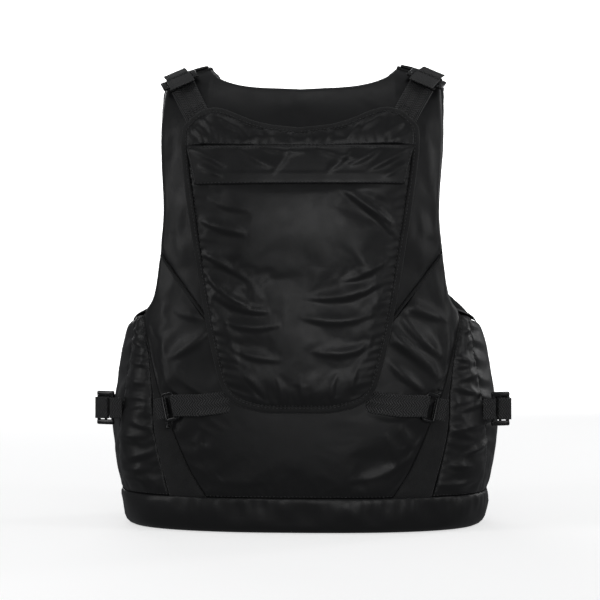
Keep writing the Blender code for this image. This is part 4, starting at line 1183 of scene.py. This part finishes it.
def hem_loops(angles):
    """Sections of the turned-up hem: a soft flattened roll of cloth round elastic."""
    loops = []
    for out, z in HEM_SECTION:
        spots = np.stack([angles, np.full(len(angles), z)], axis=-1)
        base, normal = torso(spots), outward(spots)
        across = base[:, 0] + base[:, 1] * 0.6
        middle = math.sin(math.pi * min(max(z / 39, 0), 1)) ** 0.7 if out > -7 else 0.25
        soft = 0.9 * np.sin(across / 31 + z / 17) + 0.6 * np.sin(across / 13 - z / 9)
        soft += 0.35 * np.sin(across / 6.1 + z / 6)
        gather = 0.5 * np.exp(-abs(z - 33) / 5) * np.sin(across / 2.3 + 0.9 * np.sin(across / 9.7))
        corner = 2.8 * np.exp(-((np.abs(base[:, 0]) - 178) / 20) ** 2) * (base[:, 1] < 0)
        slant = np.maximum(np.sin(across / 19 + z / 6.5 + 1.1 * np.sin(across / 37)), 0) ** 3
        fold = 1.7 * slant * (0.5 + 0.5 * np.sin(across / 53 + 2))
        height = out + middle * (1.3 * soft + corner + fold) + gather * (out > -4)
        loops.append(base + normal * height[:, None])
    return np.stack(loops, axis=1)


def add_hem():
    split = 112
    end = spot(ZIP_HALF + 0.9, 0, front=True)[0]
    runs = (
        ("hem_back", -split, split, 360),
        ("hem_front_right", split + 0.4, end, 110),
        ("hem_front_left", -end, -split - 0.4, 110),
    )
    for name, start, stop, count in runs:
        hem = sweep(name + "_roll", hem_loops(np.linspace(start, stop, count)), NYLON)
        stand_for(hem, name)


def foam_inner(base):
    """Height of the foam's inside over the torso, which is below it."""
    return -SHELL_DEPTH - np.interp(base[..., 2], *np.array(FOAMS, float).T)


def lining_outer(base):
    return foam_inner(base) - LINING_GAP


def add_layer(name, node, grid, heights, material):
    """A layer inside the vest, between two heights over the torso for each grid point."""
    base, normal = torso(grid), outward(grid)
    outer, inner = (base + normal * height[..., None] for height in heights)
    piece = slab(name, outer, inner, material)
    stand_for(piece, node)
    return piece, outer


def add_foam(name, node, grid, depth=SHELL_DEPTH):
    """A foam panel, rounded off at its edges."""
    base = torso(grid)
    edge = np.minimum.reduce(list(edge_distances(base).values()))
    outer, inner = np.full(edge.shape, -depth), foam_inner(base)
    shrink = (1 - np.sqrt(1 - (1 - np.clip(edge / 6, 0, 1)) ** 2)) * (outer - inner) * 0.42
    piece, _ = add_layer(name, node, grid, (outer - shrink, inner + shrink), FOAM)


def add_lining(name, node, grid):
    base = torso(grid)
    edge = np.minimum.reduce(list(edge_distances(base).values()))
    outer = lining_outer(base) + 0.45 * ripple(base) * np.clip(edge / 10, 0, 1)
    piece, outer = add_layer(name, node, grid, (outer, outer - 1.0), LINING_CLOTH)
    declare_sheet(outer)


SIDE_FOAM_DEPTH = SHELL_DEPTH + 2.6


def add_foams():
    """Foam panels. The side ones lie deeper, to leave room for the gathers of the side panels."""
    inset = 7
    edge = line(((146, 46), (159, 88), (166, 157), (170, 205), (176, 240)))
    edge = np.concatenate([edge, line(BACK_ARMHOLE[1:-1], shift=(-inset, 0)), [spot(ARM_HALF - inset, None)]])
    top = line(rounded(NECKLINE)[:-1], shift=(0, -inset))
    top = np.concatenate([top, [spot(NECK_HALF + inset, None)], edge[-1:]])
    grid = patch(both_halves(line(((0, 46), (146, 46)))), both_halves(top), flip(edge), edge, 7)
    add_foam("back_foam_panel", "back_foam", grid)
    back = line(((155, 46), (170, 88), (177, 157), (182, 205), (188, 238)))
    front = line(((176, 46), (186, 110), (184, 200), (180, 246)), front=True)
    dip = np.array([back[-1], (90, SIDE_DIP - inset), front[-1]])
    side = patch(np.array([back[0], (90, back[0][1]), front[0]]), dip, back, front, 7)
    inner = line(((ZIP_HALF + inset, 46), (ZIP_HALF + inset, FRONT_NECKLINE[0][1] - inset)), front=True)
    outer = line(FRONT_SEAM[:-1] + FRONT_ARMHOLE, front=True, shift=(-inset, 0))
    outer[0] = spot(FRONT_SEAM[0][0] - inset, 46, front=True)
    top = line(rounded(FRONT_NECKLINE)[1:], front=True, shift=(inset, -inset))
    top = np.concatenate([inner[-1:], top, outer[-1:]])
    chest = patch(np.stack([outer[0], inner[0]]), top[::-1], outer, inner, 7)
    for place, grid, depth in (("side", side, SIDE_FOAM_DEPTH), ("front", chest, SHELL_DEPTH)):
        for name, turned in (("_right", grid), ("_left", flip(grid))):
            add_foam(place + "_foam_panel" + name, place + "_foam" + name, turned, depth)


def add_linings():
    arm = line(rounded(BACK_ARMHOLE), shift=(-7, -6))
    edge = np.concatenate([[(89.5, 42), (89.5, SIDE_DIP - 8)], arm])
    top = np.concatenate([line(rounded(NECKLINE), shift=(0, -1)), arm[-1:]])
    bottom = np.array([(0, 42), (30, 42), (60, 42), (89.5, 42)], float)
    grid = patch(both_halves(bottom), both_halves(top), flip(edge), edge, 5)
    add_lining("back_lining_cloth", "back_lining", grid)
    arm = line(rounded(FRONT_ARMHOLE), front=True, shift=(-7, -6))
    edge = np.concatenate([[(90.5, 42), (90.5, SIDE_DIP - 8)], arm])
    inner = line(((ZIP_HALF + 2, 42), (ZIP_HALF + 2, FRONT_NECKLINE[0][1] - 3)), front=True)
    top = line(rounded(FRONT_NECKLINE)[1:], front=True, shift=(1, -1))
    top = np.concatenate([inner[-1:], top, edge[-1:]])
    bottom = np.array([edge[0], (120, 42), (150, 42), inner[0]])
    grid = patch(bottom, top[::-1], edge, inner, 5)
    for name, turned in (("_right", grid), ("_left", flip(grid))):
        add_lining("front_lining_cloth" + name, "front_lining" + name, turned)


# Webbing.


def ribbon(name, path, width):
    """Webbing along (centre, normal) pairs: real herringbone ribs, thick selvedges and rounded ends."""
    centres, normals = (np.array([tuple(pair[k]) for pair in path], float) for k in (0, 1))
    reach = run_of(centres)
    count = max(int(reach[-1] / WEB_STEP), 8)
    goals = np.linspace(0, reach[-1], count + 1)
    centres, normals = read_at(goals, reach, centres), unit(read_at(goals, reach, normals))
    for _ in range(3):
        centres[1:-1] = (centres[:-2] + 2 * centres[1:-1] + centres[2:]) / 4
    ahead = unit(np.gradient(centres, axis=0))
    across = unit(np.cross(ahead, normals))
    normals = np.cross(across, ahead)
    ends = np.clip(np.minimum(goals, reach[-1] - goals) / WEB_STEP, 0.25, 1)
    steps = np.linspace(-1, 1, int(width / 0.75) + 1) * width / 2
    loops = []
    for side in (1, -1):
        for x in steps[::side]:
            rib = np.sin((goals + np.abs((x / RIB_COLUMN) % 2 - 1) * RIB_COLUMN) * 2 * np.pi / RIB)
            rim = width / 2 - abs(x)
            edge = min(max(rim / WEB_ROUNDING, 0), 1)
            selvedge = 0.14 * math.exp(-(((rim - 1.4) / 0.8) ** 2))
            lift = WEB_THICK / 2 * math.sqrt(1 - (1 - edge) ** 2 * 0.96) + (0.13 * rib + selvedge) * edge
            loops.append(centres + across * x + normals * (side * lift * ends)[:, None])
    flat = np.stack(np.broadcast_arrays(np.concatenate([steps, steps[::-1]]), goals[:, None]), axis=-1)
    return sweep(name, np.stack(loops, axis=1), WEBBING, flat=flat.reshape(-1, 2) * MM)


def surface_path(points, lifts, front=False, steps=6):
    """(centre, normal) pairs over the vest through pattern points, at changing heights above it."""
    chain = rounded(points, steps)
    count = len(chain) - 1
    path = []
    for i, (x, z) in enumerate(chain):
        here = np.array(spot(x, z, front))
        lift = float(np.interp(i / count * (len(lifts) - 1), range(len(lifts)), lifts))
        path.append((Vector(lifted(here, lift)), Vector(outward(here))))
    return path


def frame_at(x, z, toward, lift, front=False):
    """A frame on the vest: u runs towards another pattern point, n points out, w lies across."""
    here, there = np.array(spot(x, z, front)), np.array(spot(*toward, front))
    normal = Vector(outward(here))
    ahead = Vector(torso(there) - torso(here))
    u = (ahead - normal * ahead.dot(normal)).normalized()
    return frame_of(Vector(torso(here)) + normal * lift, u, normal)


def frame_of(origin, u, normal):
    """A matrix in millimetres with columns w (across), u (along) and n (out)."""
    w = u.cross(normal)
    return Matrix.Translation(origin) @ Matrix((w, u, normal)).transposed().to_4x4()


def flipped(place):
    turn = Matrix.Diagonal((-1, 1, 1, 1))
    return turn @ place @ turn


def placed(place, path):
    """A path of a frame's own, in the vest's frame."""
    turn = place.to_3x3()
    return [(place @ Vector(centre), turn @ Vector(normal)) for centre, normal in path]


def mirror_path(path):
    turn = Vector((-1, 1, 1))
    return [(Vector(centre) * turn, Vector(normal) * turn) for centre, normal in path]


def looped(behind, bar, bulge, lift, front):
    """Webbing round a bar in a lock's frame: (centre, normal) pairs.

    It lies at -lift behind the bar at the places along u in behind, bulges past the bar's own place, and
    comes back in front through (place, height) pairs.
    """
    path = [((0, u, -lift), (0, 0, -1)) for u in behind]
    for k in range(1, 12):
        out, up = math.sin(math.pi * k / 12), -math.cos(math.pi * k / 12)
        path.append(((0, bar + out * bulge, up * lift), (0, math.copysign(out, bulge), up)))
    return path + [((0, u, height), (0, 0, 1)) for u, height in front]


def lock_path(incoming, tail):
    """A strap's end round a lock's middle bar."""
    front = ((-2, STRAP_LIFT), (-tail * 0.5, STRAP_LIFT + 0.3), (-tail, STRAP_LIFT))
    front = [(u - LOCK_PITCH, height) for u, height in front]
    behind = (-LOCK_PITCH - incoming, -LOCK_PITCH - 2)
    return looped(behind, -LOCK_PITCH, LOCK_BAR / 2 + 1.9, STRAP_LIFT, front)


def tab_path(back, over):
    """A tab round a lock's tab bar, with a short leg behind and a long one in front."""
    reach = LOCK_THICK / 2 + 1.1
    return looped((back, 1), 0, -(LOCK_BAR / 2 + 1.5), reach, ((1, reach), (over, reach - over / 7)))


def hook_path():
    """The lower strap's end round its hook's bar."""
    reach = HOOK_WIRE / 2 + 1.4
    return looped((-24, -2), 0, reach + 0.2, reach, ((-2, reach), (-26, reach + 0.3)))


def shoulder_frame():
    """The right shoulder lock's frame. It hangs from its tab bar along -u."""
    return frame_at(146, 521, (112, 462), 2 * STRAP_LIFT + 0.4) @ Matrix.Rotation(math.pi, 4, "Z")


def side_frame():
    """The right side lock's frame, standing out from the side seam."""
    seam = torso(np.array(spot(212, SIDE_STRAP_HEIGHT)))
    return frame_of(Vector((221.5, seam[1] - 2, SIDE_STRAP_HEIGHT)), -SIDE_LOCK_OUT, SIDE_LOCK_FACE)


def hook_frame():
    """The right hook buckle's frame: its webbing bar is the origin and its open bar lies along +u."""
    return frame_at(140, 144, (180, 134), 6.2)


def add_strap(node, path, width, body="vest"):
    stand_for(ribbon(node + "_web", path, width), node, body)


def add_bar_tacks(name, path, width, distances):
    """Rows of stitches across a strap where it is sewn down."""
    centres, normals = (np.array([tuple(pair[k]) for pair in path]) for k in (0, 1))
    reach, ahead = run_of(centres), np.gradient(centres, axis=0)
    steps = np.linspace(-width / 2 + 1, width / 2 - 1, 9)[:, None]
    runs = []
    for distance in distances:
        here, up, along = (read_at(distance, reach, values) for values in (centres, normals, ahead))
        across = unit(np.cross(up, along))
        runs.append((here + up * 0.95 + across * steps, np.repeat(unit(up)[None], 9, axis=0)))
    stitches(name, runs)


def add_shoulder_straps():
    anchor = (112, 462)
    right = shoulder_frame()
    bar = right @ Vector((0, -LOCK_PITCH - 16.6, -STRAP_LIFT))
    halfway = (bar.x * 0.5 + anchor[0] * 0.5, bar.z * 0.5 + anchor[1] * 0.5)
    strap = surface_path((anchor, halfway), (2.2, 2.9))
    strap.append((bar, strap[-1][1]))
    for side, place, path in (("right", right, strap), ("left", flipped(right), mirror_path(strap))):
        body = "shoulder_adjuster_" + side
        add_strap("shoulder_strap_end_" + side, placed(place, lock_path(16, 30)), SHOULDER_WEB, body)
        add_strap("shoulder_tab_" + side, placed(place, tab_path(5, 24)), SHOULDER_WEB - 2)
        add_strap("shoulder_strap_" + side, path, SHOULDER_WEB)
        add_bar_tacks("shoulder_strap_tacks_" + side, path, SHOULDER_WEB, (17, 20, 23, 26, 29))


def add_lower_straps():
    strap = surface_path(((70, 150), (88, 148), (112, 145)), (2.4, 4.8, 6.8, 9.6))
    strap += placed(hook_frame(), hook_path())[-2:0:-1]
    tab = surface_path(((151, 141.5), (166, 138)), (1.6, 1.6))
    for side, path, end in (("right", strap, tab), ("left", mirror_path(strap), mirror_path(tab))):
        add_strap("lower_strap_" + side, path, LOWER_WEB)
        add_strap("lower_tab_" + side, end, LOWER_WEB)


def add_side_straps():
    place = side_frame()
    end = place @ Vector((0, -LOCK_PITCH - 9.8, -STRAP_LIFT))
    ahead = end + SIDE_LOCK_OUT * 3.0
    swing = [(end.x, end.y), (ahead.x, ahead.y), (ahead.x + 0.5, ahead.y + 8), (242, -22)]
    for angle in (90, 98, 108, 118, 130):
        swing.append(tuple(lifted(np.array((angle, float(SIDE_STRAP_HEIGHT))), 3.2)[:2]))
    path = []
    route = np.array(rounded(swing, 5))
    for (x, y), (dx, dy) in zip(route, np.gradient(route, axis=0)):
        path.append((Vector((x, y, SIDE_STRAP_HEIGHT)), Vector((dy, -dx, 0)).normalized()))
    for side, spin, strap in (("right", place, path), ("left", flipped(place), mirror_path(path))):
        body = "side_adjuster_" + side
        add_strap("side_strap_end_" + side, placed(spin, lock_path(9, 13)), SIDE_WEB, body)
        add_strap("side_tab_" + side, placed(spin, tab_path(7, 14)), SIDE_WEB - 1)
        add_strap("side_strap_" + side, strap, SIDE_WEB)


# Stitching.


def seam_run(panel, side, inset):
    """Points and normals along one side of a panel's finished grid, at an inset from its edge."""
    places, normals = panel.places, grid_normals(panel.places)
    if side in ("bottom", "top"):
        places, normals = places.transpose(1, 0, 2), normals.transpose(1, 0, 2)
    if side in ("right", "top"):
        places, normals = places[:, ::-1], normals[:, ::-1]
    points, up = [], []
    for row, directions in zip(places[:, :12], normals[:, :12]):
        reach = run_of(row)
        points.append(read_at(inset, reach, row))
        up.append(read_at(inset, reach, directions))
    return np.array(points), unit(np.array(up))


# Each stitch's share of its length, thickness and height above the cloth.
STITCH_SHAPE = (
    (0.0, 0.35, -0.25), (0.18, 0.85, 0.05), (0.5, 1.0, 0.22), (0.82, 0.85, 0.05), (1.0, 0.35, -0.25),
)


def capped_faces(first, rings, sides):
    """Faces of one closed tube whose points start at an index: its wall and its two ends."""
    faces = []
    for a in range(rings - 1):
        for b in range(sides):
            c, d = first + a * sides + b, first + a * sides + (b + 1) % sides
            faces.append((c, d, d + sides, c + sides))
    last = first + sides * (rings - 1)
    return faces + [tuple(range(first + sides - 1, first - 1, -1)), tuple(range(last, last + sides))]


def stitches(name, runs, body="vest"):
    """Lockstitch along runs of (points, normals): each stitch a short thread that dips at both ends."""
    turns = np.linspace(0, 2 * np.pi, 6, endpoint=False)
    shares = np.array([share for share, _, _ in STITCH_SHAPE])
    points, faces = [], []
    for places, normals in runs:
        reach = run_of(places)
        for start in np.arange(1.0, reach[-1] - STITCH - 1, STITCH + STITCH_GAP):
            goals = start + STITCH * shares
            here, up = read_at(goals, reach, places), unit(read_at(goals, reach, normals))
            across = unit(np.cross(unit(here[-1] - here[0]), up))
            faces += capped_faces(len(points), len(STITCH_SHAPE), len(turns))
            for k, (_, size, lift) in enumerate(STITCH_SHAPE):
                ring = across[k] * np.cos(turns)[:, None] + up[k] * np.sin(turns)[:, None]
                points.extend(here[k] + up[k] * lift + ring * THREAD_RADIUS * size)
    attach(add_mesh(name, np.array(points), faces, THREAD), body)


def stitch_panels(panels):
    """The stitch lines that show, beside the seams."""
    byname = {panel.name: panel for panel in panels}
    plan = {
        "pocket_face": (("left", 3.0), ("right", 3.0), ("bottom", 3.0)),
        "pocket_top_band": (("left", 3.0), ("right", 3.0), ("top", 3.0), ("bottom", 2.6)),
        "lower_back_shell": (("bottom", 2.4),),
    }
    for side in ("right", "left"):
        inner, outer = ("left", "right") if side == "right" else ("right", "left")
        plan["side_band_" + side] = ((outer, 2.2),)
        plan["back_side_panel_" + side] = ((inner, 2.6), (outer, 2.6), ("bottom", 2.4))
        plan["side_panel_" + side] = ((inner, 3.0), ("bottom", 2.4))
        plan["front_shell_" + side] = ((outer, 2.8), ("bottom", 2.4))
    for name, sides in plan.items():
        runs = [seam_run(byname[name], side, inset) for side, inset in sides]
        stitches(name + "_stitches", runs)


# Buckles.


def join_pieces(name, pieces):
    """Several closed shapes made one piece."""
    shape = bmesh.new()
    for piece in pieces:
        shape.from_mesh(piece.data)
    mesh = bpy.data.meshes.new(name)
    shape.to_mesh(mesh)
    shape.free()
    for material in pieces[0].data.materials:
        mesh.materials.append(material)
    for piece in pieces:
        bpy.data.objects.remove(piece)
    joined = bpy.data.objects.new(name, mesh)
    bpy.context.collection.objects.link(joined)
    mesh.shade_smooth()
    return joined


def moulded(place, loops, closed=False):
    """A plastic solid through loops of a frame's own points."""
    matrix = np.array(place)
    return sweep("part", np.array(loops) @ matrix[:3, :3].T + matrix[:3, 3], PLASTIC, closed)


def rounded_bar(place, start, end, section):
    """A bar in a frame's w-u plane, its section a rounded box (width, thickness, power)."""
    width, thick, power = section
    start, end = np.array(start, float), np.array(end, float)
    length = np.linalg.norm(end - start)
    ahead = (end - start) / length
    across = np.array([-ahead[1], ahead[0], 0.0])
    turns = np.linspace(0, 2 * np.pi, 20, endpoint=False)
    x, z = (np.sign(side) * np.abs(side) ** (2 / power) for side in (np.cos(turns), np.sin(turns)))
    ring = across * (x * width / 2)[:, None] + np.array([0, 0, 1.0]) * (z * thick / 2)[:, None]
    fade = min(width, thick) / 2
    rounding = ((0, 0.35), (0.06, 0.62), (0.2, 0.83), (0.5, 0.96), (1, 1.0))
    sizes = [(fade * share, size) for share, size in rounding]
    sizes += [(length - at, size) for at, size in sizes[::-1]]
    return moulded(place, [start + ahead * at + ring * size for at, size in sizes])


def add_lock(node, place, web, body):
    """A moulded ladder lock: two ribbed side rails and three bars, the last with grip ridges."""
    rail = web / 2 + 1.2 + LOCK_SIDE / 2
    top = LOCK_BAR / 2 + 0.4
    last = -2 * LOCK_PITCH - 0.3
    bottom = last - LOCK_BAR / 2 - 0.7
    bars = []
    for x in (-rail, rail):
        bars.append(((x, top, 0), (x, bottom, 0), (LOCK_SIDE, LOCK_THICK, 3.2)))
        bars.append(((x, top - 4, 1.0), (x, bottom + 4, 1.0), (2.2, 3.0, 2.4)))
    for u, width, thick in ((0, LOCK_BAR, 3.4), (-LOCK_PITCH, LOCK_BAR, 3.0), (last, LOCK_BAR + 0.8, 3.8)):
        bars.append(((-rail, u, 0), (rail, u, 0), (width, thick, 2.6)))
    for x in range(-10, 11, 5):
        bars.append(((x - 1.6, last, 1.7), (x + 1.6, last, 1.7), (1.6, 1.1, 2.2)))
    lock = join_pieces(node + "_frame", [rounded_bar(place, *bar) for bar in bars])
    stand_for(lock, node, body)


def wire_ring(place, corners, radius, bend):
    """A closed wire frame through corners in the w-u plane, each turned with a bend radius."""
    route = []
    count = len(corners)
    for i in range(count):
        before, here, after = (np.array(corners[(i + k) % count], float) for k in (-1, 0, 1))
        start, end = here + unit(before - here) * bend, here + unit(after - here) * bend
        for t in np.linspace(0, 1, 7):
            route.append((1 - t) ** 2 * start + 2 * t * (1 - t) * here + t * t * end)
    route = np.array(route)
    ahead = unit(np.roll(route, -1, axis=0) - np.roll(route, 1, axis=0))
    rings = []
    for (x, y), (dx, dy) in zip(route, ahead):
        ring = []
        for turn in np.linspace(0, 2 * np.pi, 14, endpoint=False):
            out = math.cos(turn) * radius
            ring.append((x - dy * out, y + dx * out, math.sin(turn) * radius))
        rings.append(ring)
    return moulded(place, rings, closed=True)


def lathe(place, centre, profile):
    """A turned shape along the frame's w axis: (distance along, radius) pairs."""
    turns = np.linspace(0, 2 * np.pi, 20, endpoint=False)
    ring = np.stack([turns * 0, np.cos(turns), np.sin(turns)], axis=-1)
    return moulded(place, [np.array(centre) + (along, 0, 0) + ring * radius for along, radius in profile])


HOOK_KNOB = (
    (-4.3, 1.0), (-3.9, 2.8), (-3.3, 3.3), (-2.4, 3.0), (-0.9, 1.8),
    (0, 1.6), (0.9, 1.8), (2.2, 2.5), (3.2, 2.2), (3.8, 1.0),
)


def add_hook(node, place, body):
    """A wire hook: the strap's bar, two arms, the open bar and, beyond its end, the flared catch."""
    half, far = (HOOK_HEIGHT - HOOK_WIRE) / 2, HOOK_WIDTH - HOOK_WIRE
    arm = -half + 0.6
    parts = [
        wire_ring(place, ((-half, 0), (half, 0), (half, far), (-half, far)), HOOK_WIRE / 2, 3.4),
        rounded_bar(place, (arm, 1, 0), (arm, far - 1, 0), (HOOK_WIRE + 1.2, HOOK_WIRE, 2.6)),
        lathe(place, (-HOOK_HEIGHT / 2 - 2.6, far, 0), HOOK_KNOB),
    ]
    stand_for(join_pieces(node + "_wire", parts), node, body)


def add_buckles():
    shoulder, side, hook = shoulder_frame(), side_frame(), hook_frame()
    for name, turn in (("right", lambda place: place), ("left", flipped)):
        add_lock("shoulder_lock_" + name, turn(shoulder), SHOULDER_WEB, "shoulder_adjuster_" + name)
        add_lock("side_lock_" + name, turn(side), SIDE_WEB, "side_adjuster_" + name)
        add_hook("hook_buckle_" + name, turn(hook), "hook_" + name)


# The zip.


def add_zip():
    """Woven tapes with a cord along the edge, and moulded teeth that mesh down the middle."""
    for side, name in ((1, "right"), (-1, "left")):
        columns = np.linspace(20, 1.2, 18) if side > 0 else np.linspace(-1.2, -20, 18)
        x, z = np.meshgrid(columns, np.linspace(ZIP_BOTTOM, ZIP_TOP, 150))
        sunk = 1.4 * np.clip((np.abs(x) - 12) / 8, 0, 1) ** 2
        cord = 0.5 * np.exp(-(((np.abs(x) - 4.6) / 0.8) ** 2))
        outer = np.stack([x, ZIP_PLANE + 0.15 * np.sin(z / 37) - sunk + cord, z], axis=-1)
        tape = slab("zip_cloth_" + name, outer, outer - np.array([0, 0.9, 0]), MATTE)
        stand_for(tape, "zip_tape_" + name)
        lowest = ZIP_BOTTOM + 3 + (TOOTH_PITCH / 2 if side < 0 else 0)
        add_teeth("zip_teeth_" + name, side, np.arange(lowest, ZIP_TOP - 3, TOOTH_PITCH))


TOOTH = (
    (4.4, -0.75), (4.9, 0), (4.4, 0.75), (1.4, 0.62), (0.4, 0.95), (-0.6, 1.05),
    (-1.25, 0.6), (-1.45, 0), (-1.25, -0.6), (-0.6, -1.05), (0.4, -0.95), (1.4, -0.62),
)


def add_teeth(name, side, heights):
    """Moulded teeth: each a foot round the tape's cord and a rounded head past the middle line."""
    points, faces = [], []
    layers = ((-1.45, 0.8), (-1.1, 1.0), (1.1, 1.0), (1.45, 0.8))
    for height in heights:
        faces += capped_faces(len(points), len(layers), len(TOOTH))
        for depth, size in layers:
            for x, z in TOOTH:
                points.append((side * (1.7 + (x - 1.7) * size), ZIP_PLANE + depth, height + z * size))
    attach(face_out(add_mesh(name, np.array(points), faces, PLASTIC)), "vest")


# Putting it together.


def main():
    dress_nodes()
    add_camera()
    add_studio()
    panels = back_panels() + side_panels() + side_bands() + front_panels() + pocket_panels()
    drape(panels)
    for panel in panels:
        panel.build()
    add_pocket_binding()
    add_pocket_back()
    add_flap()
    stitch_panels(panels)
    add_piping()
    add_edge_lips()
    add_shoulder_caps()
    add_hem()
    add_foams()
    add_linings()
    add_shoulder_straps()
    add_lower_straps()
    add_side_straps()
    add_buckles()
    add_zip()


main()
